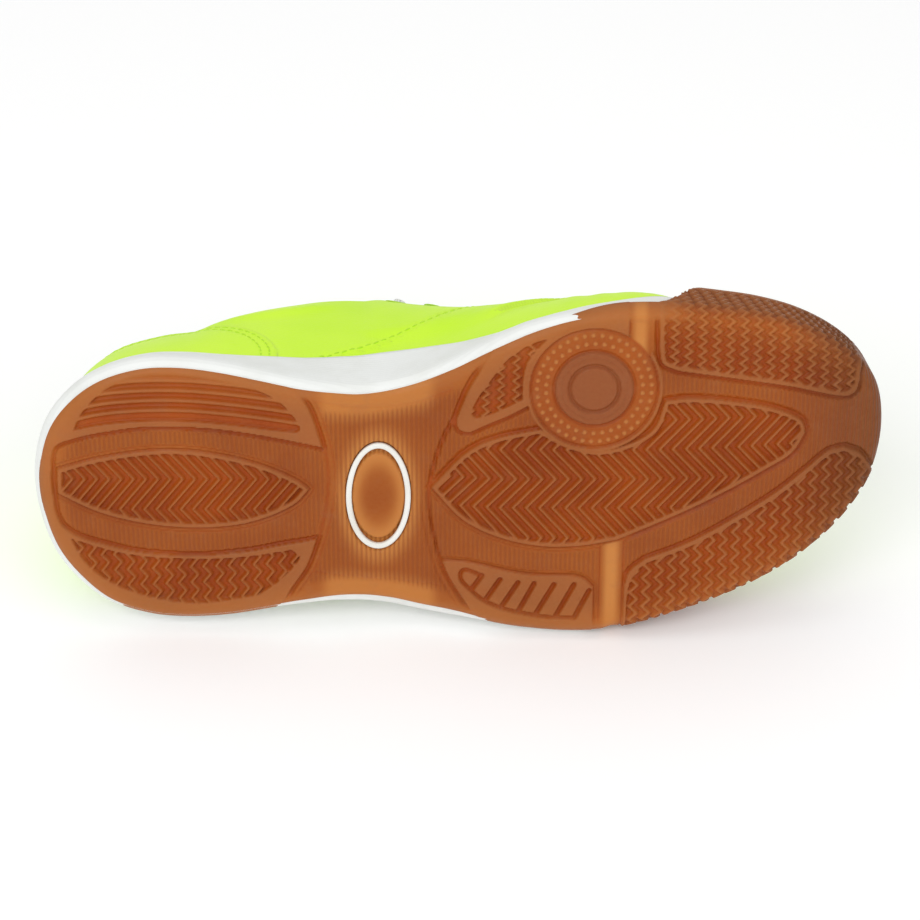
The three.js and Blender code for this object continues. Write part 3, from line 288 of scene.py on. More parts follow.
def bend(x, y, z, dist, foot):
    """The flat sheet bends up round the tread edge and follows the standing surface."""
    d = np.maximum(dist, 1e-9)
    way = (np.stack([x, y], 1) - foot) / d[:, None]
    angle = np.minimum(d, WRAP_CURL) / CURL_RADIUS
    rest = np.maximum(0, d - WRAP_CURL)
    thin = mix(1, WRAP_THICKNESS / GUM_THICKNESS, smooth(0, WRAP_CURL, d))
    out = CURL_RADIUS * np.sin(angle) + rest * np.cos(angle) - z * thin * np.sin(angle)
    up = CURL_RADIUS * (1 - np.cos(angle)) + rest * np.sin(angle) + z * thin * np.cos(angle)
    bent = np.concatenate([foot + way * out[:, None], (sole_height(foot[:, 0]) + up)[:, None]], 1)
    flat = np.stack([x, y, sole_height(x) + z], 1)
    return np.where((dist > 0)[:, None], bent, flat)


def polygon_distance(px, py, line, margin=3.0, closed=True):
    """Distance to an outline, negative inside a closed one; points past the margin get a large value."""
    line = np.asarray(line, float)
    a, b = (line, np.roll(line, -1, axis=0)) if closed else (line[:-1], line[1:])
    out = np.full(len(px), 99.0)
    lo, hi = line.min(0) - margin, line.max(0) + margin
    near = np.nonzero((px > lo[0]) & (px < hi[0]) & (py > lo[1]) & (py < hi[1]))[0]
    for start in range(0, len(near), 20000):
        part = near[start:start + 20000]
        x, y = px[part, None], py[part, None]
        out[part] = np.sqrt(to_segments(x, y, a, b)[2].min(1)) * (within(x, y, a, b) if closed else 1)
    return out


def line_distance(px, py, line, margin=3.0):
    return polygon_distance(px, py, line, margin, closed=False)


# Mesh helpers
def make_mesh(name, verts_mm, faces):
    mesh = bpy.data.meshes.new(name)
    verts = world(verts_mm)
    mesh.vertices.add(len(verts))
    mesh.vertices.foreach_set("co", verts.astype(np.float32).ravel())
    faces = np.asarray(faces)
    n, k = faces.shape
    mesh.loops.add(n * k)
    mesh.loops.foreach_set("vertex_index", faces.astype(np.int32).ravel())
    mesh.polygons.add(n)
    mesh.polygons.foreach_set("loop_start", np.arange(0, n * k, k, dtype=np.int32))
    mesh.polygons.foreach_set("loop_total", np.full(n, k, dtype=np.int32))
    mesh.polygons.foreach_set("use_smooth", np.full(n, True))
    mesh.update(calc_edges=True)
    mesh.validate()
    attribute(mesh, "shoe", verts_mm)
    obj = bpy.data.objects.new(name, mesh)
    bpy.context.scene.collection.objects.link(obj)
    return obj


def attribute(mesh, name, values):
    values = np.asarray(values, np.float32)
    kind, key = ("FLOAT_VECTOR", "vector") if values.ndim == 2 else ("FLOAT", "value")
    mesh.attributes.new(name, kind, "POINT").data.foreach_set(key, values.ravel())


def grid_faces(rows, columns, wrap=False, base=0, flip=False):
    """Quads of a grid stored row by row."""
    r = np.arange(rows - 1)[:, None]
    c = np.arange(columns if wrap else columns - 1)[None, :]
    a = base + r * columns + c
    b = base + r * columns + (c + 1) % columns
    quads = np.stack([a, b, b + columns, a + columns], -1).reshape(-1, 4)
    return quads[:, ::-1] if flip else quads


def renumber(faces, count):
    """The points that the faces use, and the faces in their new numbers."""
    used = np.unique(faces)
    new = np.full(count, -1)
    new[used] = np.arange(len(used))
    return used, new[faces]


# Materials
class Nodes:
    """Short calls for building a material's node tree."""

    def __init__(self, name):
        self.material = bpy.data.materials.new(name)
        self.material.use_nodes = True
        self.tree = self.material.node_tree
        self.shader = self.tree.nodes["Principled BSDF"]

    def new(self, kind, **settings):
        node = self.tree.nodes.new(kind)
        for key, value in settings.items():
            setattr(node, key, value)
        return node

    def put(self, socket, value):
        if isinstance(value, bpy.types.NodeSocket):
            self.tree.links.new(value, socket)
        elif hasattr(value, "__len__") and len(value) == 3 and len(socket.default_value) == 4:
            socket.default_value = (*value, 1)
        else:
            socket.default_value = value

    def attribute(self, name, output="Fac"):
        node = self.new("ShaderNodeAttribute", attribute_name=name)
        return node.outputs[output]

    def math(self, operation, a, b=0.0):
        node = self.new("ShaderNodeMath", operation=operation)
        self.put(node.inputs[0], a)
        self.put(node.inputs[1], b)
        return node.outputs[0]

    def times(self, a, b):
        return self.math("MULTIPLY", a, b)

    def wave(self, value, pitch):
        return self.math("SINE", self.times(value, 2 * math.pi / pitch))

    def axes(self, vector):
        node = self.new("ShaderNodeSeparateXYZ")
        self.put(node.inputs[0], vector)
        return node.outputs

    def mix(self, factor, a, b):
        node = self.new("ShaderNodeMix", data_type="RGBA")
        self.put(node.inputs[0], factor)
        self.put(node.inputs[6], a)
        self.put(node.inputs[7], b)
        return node.outputs[2]

    def scale(self, vector, factors):
        node = self.new("ShaderNodeVectorMath", operation="MULTIPLY")
        self.put(node.inputs[0], vector)
        node.inputs[1].default_value = factors
        return node.outputs[0]

    def noise(self, vector, scale, detail=3.0, rough=0.55):
        node = self.new("ShaderNodeTexNoise")
        self.put(node.inputs["Vector"], vector)
        self.put(node.inputs["Scale"], scale)
        self.put(node.inputs["Detail"], detail)
        self.put(node.inputs["Roughness"], rough)
        return node.outputs["Fac"]

    def cells(self, vector, scale):
        node = self.new("ShaderNodeTexVoronoi")
        self.put(node.inputs["Vector"], vector)
        self.put(node.inputs["Scale"], scale)
        return node.outputs["Distance"]

    def remap(self, value, low, high, to_low=0.0, to_high=1.0):
        node = self.new("ShaderNodeMapRange")
        for socket, v in zip(node.inputs, (value, low, high, to_low, to_high)):
            self.put(socket, v)
        return node.outputs[0]

    def bump(self, height, strength, distance, normal=None):
        node = self.new("ShaderNodeBump")
        self.put(node.inputs["Height"], height)
        self.put(node.inputs["Strength"], strength)
        self.put(node.inputs["Distance"], distance)
        if normal is not None:
            self.put(node.inputs["Normal"], normal)
        return node.outputs[0]

    def finish(self, color, roughness, normal=None, **sockets):
        self.put(self.shader.inputs["Base Color"], color)
        self.put(self.shader.inputs["Roughness"], roughness)
        if normal is not None:
            self.put(self.shader.inputs["Normal"], normal)
        for key, value in sockets.items():
            self.put(self.shader.inputs[key.replace("_", " ")], value)
        return self.material


def srgb(code):
    values = [int(code[i:i + 2], 16) / 255 for i in (0, 2, 4)]
    return tuple(v / 12.92 if v <= 0.04045 else ((v + 0.055) / 1.055) ** 2.4 for v in values)


# The camera, at the photo's angle to the shoe
CAMERA_TILT = math.radians(24.5)
CAMERA_DISTANCE = 678.6
LOOK_AT = np.array([115.2, -8.65, 0.0])
FOCAL_LENGTH = 97.83


def place_camera():
    sight = np.array([0, math.sin(CAMERA_TILT), math.cos(CAMERA_TILT)])
    above = np.array([0, -math.cos(CAMERA_TILT), math.sin(CAMERA_TILT)])
    place = world([LOOK_AT - sight * CAMERA_DISTANCE])[0]
    back = -(TURNED @ sight)
    up = TURNED @ above
    right = np.cross(up, back)
    data = bpy.data.cameras.new("photo_camera")
    camera = bpy.data.objects.new("photo_camera", data)
    bpy.context.scene.collection.objects.link(camera)
    data.lens = FOCAL_LENGTH
    data.sensor_width = 36
    data.clip_start = 0.01
    data.clip_end = 20
    turned = Matrix((right, up, back)).transposed()
    camera.matrix_world = Matrix.Translation(Vector(place)) @ turned.to_4x4()
    bpy.context.scene.camera = camera


place_camera()


# Outlines of the tread, drawn flat. Every edge starts where the one before ends, and lists X and Y in
# thousandths of sole length and ball width.
def outline(*edges):
    parts = []
    start = edges[-1][-2:]
    for edge in edges:
        points = np.reshape([*start, *edge], (-1, 2)) / 1000 * [SOLE_LENGTH, BALL_WIDTH]
        parts.append(spline(points, 6)[:-1])
        start = edge[-2:]
    return np.concatenate(parts)


HEEL_ZONE = outline(
    [293, 317, 312, 247, 324, 172, 333, 95, 339, -7, 338, -80, 331, -160, 318, -251, 300, -302, 270, -360],
    [270, -700],
    [-150, -700],
    [-150, 700],
    [270, 700],
    [270, 420],
)
HEEL_LENS = outline(
    [25, -122, 52, -149, 87, -167, 121, -179, 155, -182, 189, -179, 223, -171, 257, -158, 291, -142,
     332, -119, 380, -80],
    [380, 110],
    [324, 154, 287, 170, 252, 188, 217, 199, 182, 205, 147, 201, 113, 192, 78, 171, 44, 143, 27, 114,
     20, 74],
    [18, -20, 20, -100],
)
HEEL_MEDIAL_POCKET = outline(
    [74, -191, 122, -203, 173, -204, 224, -194, 275, -178, 306, -170],
    [310, -180, 299, -229, 283, -268, 259, -299],
    [233, -316, 199, -333, 152, -344, 116, -333, 87, -299, 70, -264, 54, -215, 47, -177],
)
HEEL_CENTRE = outline(
    [75, -92, 162, -116, 250, -80, 305, -22, 318, 4],
    [300, 50, 242, 108, 160, 119, 80, 82, 23, 18],
    [24, -56],
)
HEEL_LATERAL_POCKET = outline(
    [100, 205, 180, 220, 240, 214, 296, 192],
    [306, 208, 284, 280, 254, 335],
    [184, 360, 130, 343, 80, 295, 50, 230, 35, 158],
)
FORE_CENTRE = outline(
    [507, -108, 542, -152, 590, -178],
    [620, -136, 655, -114, 690, -130, 722, -178, 735, -262],
    [762, -268, 814, -254, 866, -223, 897, -182, 902, -148],
    [888, -90, 854, -40, 785, 48, 716, 124, 682, 160],
    [640, 178, 595, 180, 543, 153, 500, 105, 463, 10],
)
MEDIAL_REAR = outline(
    [496, -171, 493, -201, 499, -250, 508, -302, 520, -354, 534, -421],
    [545, -700],
    [690, -700],
    [690, -400],
    [600, -300, 576, -251],
    [552, -219, 531, -195, 508, -165],
)
MEDIAL_REAR_POCKET = outline(
    [519, -274, 536, -336, 551, -384, 577, -431, 597, -447],
    [581, -405, 574, -378, 570, -343, 569, -299, 569, -269],
    [547, -241, 531, -222, 515, -211, 509, -225],
)
TOE_MEDIAL = outline(
    [727, -400, 731, -372, 748, -352],
    [812, -324, 883, -288, 938, -250, 952, -246],
    [960, -258, 963, -277, 967, -326, 1000, -420],
    [1080, -500],
    [1010, -750],
    [726, -750],
)
LATERAL_REAR = outline(
    [507, 238, 578, 270, 641, 279, 655, 307],
    [659, 700],
    [530, 700],
    [516, 420, 498, 350, 484, 290, 474, 238],
)
LATERAL_FRONT = outline(
    [697, 270, 717, 222],
    [769, 173, 821, 105, 872, 30, 907, -36, 932, -83, 951, -91],
    [970, -68, 982, -37, 1000, 20],
    [1120, 140],
    [1120, 700],
    [692, 700],
)

# Line groove of the forefoot's rear and the soft creases of the shank, as shares of length and ball width
FORE_REAR_ARC = [
    [0.540, -0.430], [0.512, -0.324], [0.492, -0.216], [0.477, -0.141], [0.467, -0.070], [0.461, -0.005],
    [0.459, 0.054], [0.463, 0.132], [0.469, 0.200], [0.479, 0.278], [0.498, 0.357], [0.516, 0.420],
]
SHANK_CREASES = [
    [[0.330, -0.262], [0.380, -0.236], [0.440, -0.244], [0.486, -0.286]],
    [[0.322, 0.262], [0.370, 0.288], [0.420, 0.306], [0.470, 0.318]],
]


def shares_line(rows, steps=8):
    return spline([[a * SOLE_LENGTH, b * BALL_WIDTH] for a, b in rows], steps)


def ridge(u, width, soft):
    """1 on a ridge, 0 between ridges, from the distance to the nearest ridge line."""
    return 1 - smooth(width / 2 - soft / 2, width / 2 + soft / 2, u)


def line_of(x, pitch):
    return np.abs((x / pitch) - np.round(x / pitch)) * pitch


FORE_PITCH = 3.6
FORE_PHASE = 147.69
FORE_ROWS = [[-29.0, 0], [-20.2, 7.96], [-11.51, 0], [-2.75, 7.96], [5.92, 0], [15.04, 7.96], [24.0, 0]]
HEEL_PITCH = 3.34
HEEL_PHASE = 25.32
HEEL_ROWS = [[-11.8, 0], [-2.72, 7.6], [6.37, 0], [15.5, 7.6]]


def zigzag(x, y, phase, rows, pitch, width, soft):
    """Zigzag ridges that turn at the Y of the rows, each with its shift along X."""
    return ridge(line_of(x - phase - np.interp(y, *zip(*rows)), pitch), width, soft)


def triangle_wave(y, period):
    return np.abs(((y / period) % 1) - 0.5) * 4 - 1


def herring(x, y, tip, pitch, period, reach, width):
    """Zigzag ridges that run across the sole; tip is one of their foremost corners."""
    shift = (triangle_wave(y - tip[1], period) - 1) * reach
    return ridge(line_of(x - tip[0] - shift, pitch), width, 0.8)


def band(d, middle, half):
    t = np.clip(1 - np.abs(d - middle) / half, 0, 1)
    return t * t * (3 - 2 * t)


def flat_band(d, low, high, soft=0.22):
    return smooth(low - soft / 2, low + soft / 2, d) * (1 - smooth(high - soft / 2, high + soft / 2, d))


# Grooves round an island: from and to its edge in mm, depth in mm, painted shade of the floor
DEEP_LINE = [(0.1, 1.2, 1.35, 0.95)]
TWIN_LINE = [(0.15, 0.62, 1.0, 0.75), (1.2, 1.62, 0.85, 0.6)]
REAR_LINES = [(0.1, 0.55, 1.1, 0.85), (0.95, 1.3, 0.9, 0.6)]
# Flex grooves, smooth and shallow, one to each edge: middle, start, way, half width, the start's slant, sides
FLEX_GROOVES = [(0.7035, -0.36, -1, 2.8, 3.6, (-1,)), (0.677, 0.172, 1, 3.2, -0.8, (-1, 1))]
# Pivot circle: radius and depth in mm, and its rows of dots as radius and count
PIVOT_PROFILE = [
    (0, 0.10), (5.7, 0.0), (6.0, 0.15), (6.35, 0.85), (7.0, 0.85), (7.3, 0.10), (10.3, 0.10), (10.55, 1.05),
    (11.1, 1.05), (11.4, 0.50), (16.6, 0.50), (16.9, 0.95), (17.3, 0.95), (17.5, 0.05), (18.3, 0.05),
    (18.6, CHANNEL_DEPTH),
]
PIVOT_DOTS = [(13.0, 34), (15.4, 41)]
HEEL_POCKET_TILT = 0.045
# Plain border of the two centre islands
BORDER = 1.15
OVAL_SEAT_DEPTH = 1.9


def tread(x, y, dist):
    """Depth below the lug tops, and the looks that go with it, for flat points of the gum sheet. floor is painted
    shade on the floors of grooves, pockets and rings.
    """
    depth = np.full(len(x), CHANNEL_DEPTH)
    floor = np.zeros(len(x))
    ribbed = np.ones(len(x))
    wrapped = wrap_share(x, y)
    lip = smooth(-LIP_MARGIN - 0.4, -LIP_MARGIN + 0.4, dist - sheet_reach(x, y)) * wrapped

    def cut(amount, deep, shade):
        """A groove: amount is 1 in its middle and 0 outside it, and shade is the painted shade of its floor."""
        nonlocal depth, floor
        depth = np.maximum(depth, mix(CHANNEL_DEPTH, deep, amount) * (amount > 0))
        floor = np.maximum(floor, amount * shade)

    def level_up(d):
        nonlocal depth, floor
        inside = 1 - smooth(-0.12, 0.18, d)
        depth = mix(depth, 0.0, inside)
        floor = floor * (1 - inside)

    def raise_up(d, lines):
        """An island of the tread from its signed distance, and the grooves round it."""
        nonlocal ribbed
        for low, high, deep, shade in lines:
            cut(flat_band(d, low, high), deep, shade)
        level_up(d)
        clear = lines[-1][1] + 0.3
        ribbed = ribbed * smooth(clear - 0.3, clear + 0.3, d)

    def sink(d, pattern, pocket_depth=POCKET_DEPTH):
        """A patterned pocket in an island, with painted shade on its floor between the ridges."""
        nonlocal depth, floor
        low = (1 - smooth(-0.3, 0.2, d)) * (1 - lip)
        level = low * (1 - pattern)
        depth = np.where(low > 0, level * pocket_depth, depth)
        floor = np.where(low > 0, level, floor)

    def island(edge, lines, inset, pattern, pocket_depth=POCKET_DEPTH):
        """A raised island with a patterned pocket that keeps a plain border."""
        d = polygon_distance(x, y, edge)
        raise_up(d, lines)
        sink(d + inset, pattern, pocket_depth)

    # The raised band round the heel, outside a lens of recessed channels
    zone = polygon_distance(x, y, HEEL_ZONE, 60)
    lens = polygon_distance(x, y, HEEL_LENS, 60)
    band_edge = np.maximum(-lens, zone)
    line = flat_band(-lens, -0.5, 0.6) * (zone < 0)
    cut(flat_band(zone, 0.2, 1.3) * smooth(-0.5, 0.5, lens), 1.3, 0.9)
    cut(flat_band(zone, 0.2, 1.0) * (lens <= 0), 0.9, 0.55)
    cut(flat_band(zone, 2.2, 2.7), 0.8, 0.45)
    level_up(band_edge)
    cut(line, 1.35, 0.95)
    ribbed = ribbed * smooth(0.0, 0.5, band_edge) * (1 - flat_band(-lens, -0.5, 0.9) * (zone < 0.5))
    ribbed = ribbed * (1 - flat_band(zone, -0.5, 3.0))
    sink(polygon_distance(x, y, HEEL_MEDIAL_POCKET), long_ribs(x, y), 1.35)
    tilt = HEEL_POCKET_TILT * (x - 40)
    tip = (21.6, 22.5 + HEEL_POCKET_TILT * (21.6 - 40))
    sink(polygon_distance(x, y, HEEL_LATERAL_POCKET), herring(x, y + tilt, tip, 3.5, 4.8, 1.0, 1.2))
    island(HEEL_CENTRE, TWIN_LINE, BORDER, zigzag(x, y, HEEL_PHASE, HEEL_ROWS, HEEL_PITCH, 1.15, 0.8))

    d = polygon_distance(x, y, FORE_CENTRE)
    heavy = np.maximum(1 - smooth(-3, 3, y), smooth(158, 164, x))
    cut(flat_band(d, 0.1, 1.1) * heavy, 1.3, 0.9)
    island(FORE_CENTRE, TWIN_LINE, BORDER, zigzag(x, y, FORE_PHASE, FORE_ROWS, FORE_PITCH, 1.35, 0.9))
    raise_up(polygon_distance(x, y, MEDIAL_REAR), DEEP_LINE)
    sink(polygon_distance(x, y, MEDIAL_REAR_POCKET), herring(x, y, (131.2, -30.4), 4.1, 2.6, 0.9, 1.45), 1.3)
    raise_up(polygon_distance(x, y, LATERAL_REAR), REAR_LINES)
    slot, rail = slots(x, y)
    for amount, deep, shade in ((slot, 1.3, 0.95), (rail, 1.1, 0.75)):
        depth = np.maximum(depth, amount * deep)
        floor = np.maximum(floor, amount * shade)
    island(TOE_MEDIAL, DEEP_LINE, RIM_WIDTH, herring(x, y, (173.47, -48.14), 3.75, 2.72, 0.98, 1.7), 1.15)
    island(LATERAL_FRONT, DEEP_LINE, RIM_WIDTH, herring(x, y, (171.48, 25.37), 3.5, 4.4, 1.1, 1.5), 1.3)

    glow = np.zeros(len(x))
    flex = np.zeros(len(x))
    for middle, near, sign, half, slant, sides in FLEX_GROOVES:
        across = (x - middle * SOLE_LENGTH) / half
        start = near * BALL_WIDTH + slant * across
        on = smooth(-0.5, 0.5, sign * (y - start))
        trough = (1 - smooth(0.92, 1.12, np.abs(across))) * on
        depth = mix(depth, 0.55 + 0.65 * (1 - np.clip(across, -1, 1) ** 2), trough)
        floor = floor * (1 - trough)
        flex = np.maximum(flex, trough)
        ribbed = ribbed * (1 - (1 - smooth(1.1, 1.3, np.abs(across))) * on)
        glow = np.maximum(glow, (1 - smooth(0.2, 1.0, np.abs(across))) * on)
        for side in sides:
            cut(flat_band(side * across * half, half - 0.25, half + 0.35) * on, 1.1, 0.75)

    # Pivot circle: rings, rows of dots and the disc in the middle
    rx, ry = x - PIVOT_CENTRE[0], y - PIVOT_CENTRE[1]
    radius = np.hypot(rx, ry)
    turn = np.arctan2(ry, rx) / (2 * math.pi)
    ring_depth = np.interp(radius, *zip(*PIVOT_PROFILE))
    dots = np.zeros(len(x))
    for at, count in PIVOT_DOTS:
        step = 2 * math.pi * radius / count
        off = (np.abs((turn * count) % 1 - 0.5)) * step
        dot = 1 - smooth(0.35, 0.75, np.hypot(radius - at, off))
        ring_depth = ring_depth - 0.45 * dot
        dots = np.maximum(dots, dot)
    ring_depth = ring_depth + 0.18 * band(radius, 8.8, 0.3)
    on = 1 - smooth(mix(18.3, 17.1, flex), mix(18.6, 17.5, flex), radius)
    depth = mix(depth, ring_depth, on)
    # painted shade in the pivot's rings, darker where they are deeper
    painted_ring_shade = np.clip((ring_depth - 0.12) / 0.95, 0, 1) * 0.85
    floor = mix(floor, painted_ring_shade, on)
    ribbed = ribbed * (1 - on)
    glow = mix(glow, dots * 0.55, on)
    worn = on * (1 - smooth(10.4, 10.9, radius))

    # Line grooves
    arc = shares_line(FORE_REAR_ARC)
    d = line_distance(x, y, arc, 6)
    plain = 1 - smooth(-0.3, 0.3, -polygon_distance(x, y, MEDIAL_REAR, 6))
    heavy = 1 - smooth(-2.0, 10.0, y)
    cut(flat_band(d, -0.1, mix(0.42, 0.62, heavy)) * plain, 1.25, mix(0.65, 0.95, heavy))
    behind = x < np.interp(y, arc[:, 1], arc[:, 0])
    cut(flat_band(d, 1.9, 2.35) * behind * (1 - heavy), 0.75, 0.4)
    for rows in SHANK_CREASES:
        d = line_distance(x, y, shares_line(rows))
        cut(band(d, 0.0, 0.7), 0.72, 0.4)

    # Seat of the oval ring
    ox, oy = (x - OVAL_CENTRE[0]) / OVAL_HALF_WIDTH, (y - OVAL_CENTRE[1]) / OVAL_HALF_LENGTH
    oval = (np.hypot(ox, oy) - 1) * OVAL_HALF_WIDTH
    seat = 1 - smooth(OVAL_RING_WIDTH / 2, OVAL_RING_WIDTH / 2 + 0.4, np.abs(oval + OVAL_RING_WIDTH / 2))
    depth = mix(depth, OVAL_SEAT_DEPTH, seat)
    window = 1 - smooth(-2.2, -1.4, oval)
    ribbed = ribbed * (1 - window)
    depth = mix(depth, CHANNEL_DEPTH + 0.35, window)
    halo = np.exp(-(np.clip(np.abs(oval + 0.8) - 1.2, 0, None) / 2.2) ** 2)
    glow = np.maximum(glow, halo * 0.85)
    shank = smooth(0.325, 0.345, x / SOLE_LENGTH) * (1 - smooth(0.455, 0.475, x / SOLE_LENGTH))
    glow = np.maximum(glow, 0.75 * smooth(-7, -0.5, dist) * shank)

    depth = mix(depth, CHANNEL_DEPTH, lip)
    floor = floor * (1 - lip)
    edge_zone = smooth(0.0, 1.6, dist) * (1 - wrapped)
    rounded = smooth(-0.6, 2.0, dist) * (1 - wrapped)
    depth = mix(depth, np.minimum(depth, 0.15), rounded)
    floor = floor * (1 - edge_zone)
    ribbed = ribbed * (1 - smooth(-3.5, -1.0, dist) * (1 - wrapped))
    return depth, floor, glow, ribbed, worn


def long_ribs(x, y):
    """Arc ribs of the medial heel pocket follow its lower edge."""
    lower = shares_line([
        [0.040, -0.170], [0.074, -0.191], [0.122, -0.203], [0.173, -0.204], [0.224, -0.194], [0.275, -0.178],
        [0.320, -0.160],
    ])
    base = np.interp(x, lower[:, 0], lower[:, 1])
    return ridge(line_of(base - y - 0.2, 2.9), 1.3, 0.9) * smooth(0.6, 1.4, base - y)


# Slanted slots of the rear lateral island: X and Y of the top and of the bottom, in mm
SLOTS = [
    [121.3, 27.1, 118.3, 31.7], [126.3, 28.0, 122.2, 34.8], [131.3, 28.9, 126.6, 36.8], [135.8, 29.2, 131.4, 38.0],
    [141.3, 29.5, 136.4, 38.6], [146.9, 29.5, 142.0, 39.2], [151.1, 31.4, 147.1, 39.9],
]
SLOT_RAIL = [
    [121.3, 27.1], [116.4, 25.6], [115.3, 27.1], [115.7, 29.1], [118.0, 31.6], [121.5, 34.6], [126.8, 36.9],
    [133.5, 38.6], [140.2, 39.7], [146.5, 39.9],
]


def slots(x, y):
    """Slots and the shallow groove that joins their ends; 1 in the middle of each."""
    deep = np.zeros(len(x))
    for ax, ay, bx, by in SLOTS:
        deep = np.maximum(deep, 1 - smooth(0.45, 0.8, line_distance(x, y, [(ax, ay), (bx, by)])))
    rail = 1 - smooth(0.35, 0.7, line_distance(x, y, spline(SLOT_RAIL, 6)))
    return deep, rail


# The gum is cut into pieces at plain places of the sole: name, from and to X in mm
GUM_PIECES = [("gum_heel", -99, 86.0), ("gum_waist", 86.0, 148.5), ("gum_ball", 148.5, 181.0), ("gum_toe", 181.0, 999)]
RIM_RETURN = 3.5


def build_outsole():
    """Fine relief of the gum sheet on a square grid, in four pieces, bent round the edge."""
    step = 0.36
    xs = np.arange(-10, SOLE_LENGTH + 24, step)
    ys = np.arange(-BALL_WIDTH / 2 - 30, BALL_WIDTH / 2 + 22, step)
    gx, gy = np.meshgrid(xs, ys, indexing="ij")
    x, y = gx.ravel(), gy.ravel()
    dist, foot = nearest_edge(x, y)
    reach = sheet_reach(foot[:, 0], foot[:, 1])
    over = dist - reach
    keep = over < step * 0.55
    snap = keep & (over > -step * 0.75)
    away = np.stack([x, y], 1) - foot
    away /= np.maximum(np.abs(dist), 1e-6)[:, None]
    x = np.where(snap, foot[:, 0] + away[:, 0] * reach, x)
    y = np.where(snap, foot[:, 1] + away[:, 1] * reach, y)
    dist = np.where(snap, reach, dist)
    rows, columns = gx.shape
    quads = np.roll(grid_faces(rows, columns), -1, axis=1)
    used, quads = renumber(quads[keep[quads].all(1)], rows * columns)
    x, y, dist, foot = x[used], y[used], dist[used], foot[used]
    depth, floor, glow, ribbed, worn = tread(x, y, dist)
    outer = bend(x, y, depth, dist, foot)
    # wall grows up the wrapped side; the gum material uses it for painted shade
    wall = smooth(2.0, 9.0, dist)
    # Boundary edges, for the rim's thickness
    edges = np.concatenate([quads[:, [0, 1]], quads[:, [1, 2]], quads[:, [2, 3]], quads[:, [3, 0]]])
    key = np.sort(edges, 1)
    key = key[:, 0].astype(np.int64) * len(used) + key[:, 1]
    _, first, counts = np.unique(key, return_index=True, return_counts=True)
    rim = edges[first[counts == 1]]
    n = len(used)
    rim_points, inner = renumber(rim, n)
    rx, ry, rd, rf = x[rim_points], y[rim_points], dist[rim_points], foot[rim_points]
    top = bend(rx, ry, np.full(len(rx), GUM_THICKNESS), rd, rf)
    away = (np.stack([rx, ry], 1) - rf) / rd[:, None]
    back = np.maximum(rd - RIM_RETURN, 0.1)
    inward = rf + away * back[:, None]
    low = bend(inward[:, 0], inward[:, 1], np.full(len(rx), GUM_THICKNESS), back, rf)
    m = len(rim_points)
    points = np.concatenate([outer, top, low])
    a, b = rim.T
    ia, ib = inner.T + n
    faces = np.concatenate([quads, np.stack([b, a, ia, ib], 1), np.stack([ib, ia, ia + m, ib + m], 1)])

    def with_rim(value, at_rim):
        return np.concatenate([value, at_rim, at_rim])

    none = np.zeros(m)
    # floor carries the painted shade of groove and pocket floors, and sunk the painted shade of recessed channels
    values = {
        "floor": with_rim(floor, none), "glow": with_rim(glow, none), "ribbed": with_rim(ribbed, none),
        "sunk": with_rim(np.clip(depth / CHANNEL_DEPTH, 0, 1), none + 1), "worn": with_rim(worn, none),
        "wall": with_rim(wall, wall[rim_points]),
    }
    flat = with_rim(np.stack([x, y, dist], 1), np.stack([rx, ry, rd], 1))
    middle = flat[faces].mean(1)[:, 0]
    pieces = []
    for name, low_x, high_x in GUM_PIECES:
        ids, part = renumber(faces[(middle >= low_x) & (middle < high_x)], len(points))
        obj = make_mesh(name, points[ids], part)
        for label, value in values.items():
            attribute(obj.data, label, value[ids])
        attribute(obj.data, "flat", flat[ids])
        pieces.append(obj)
    return pieces


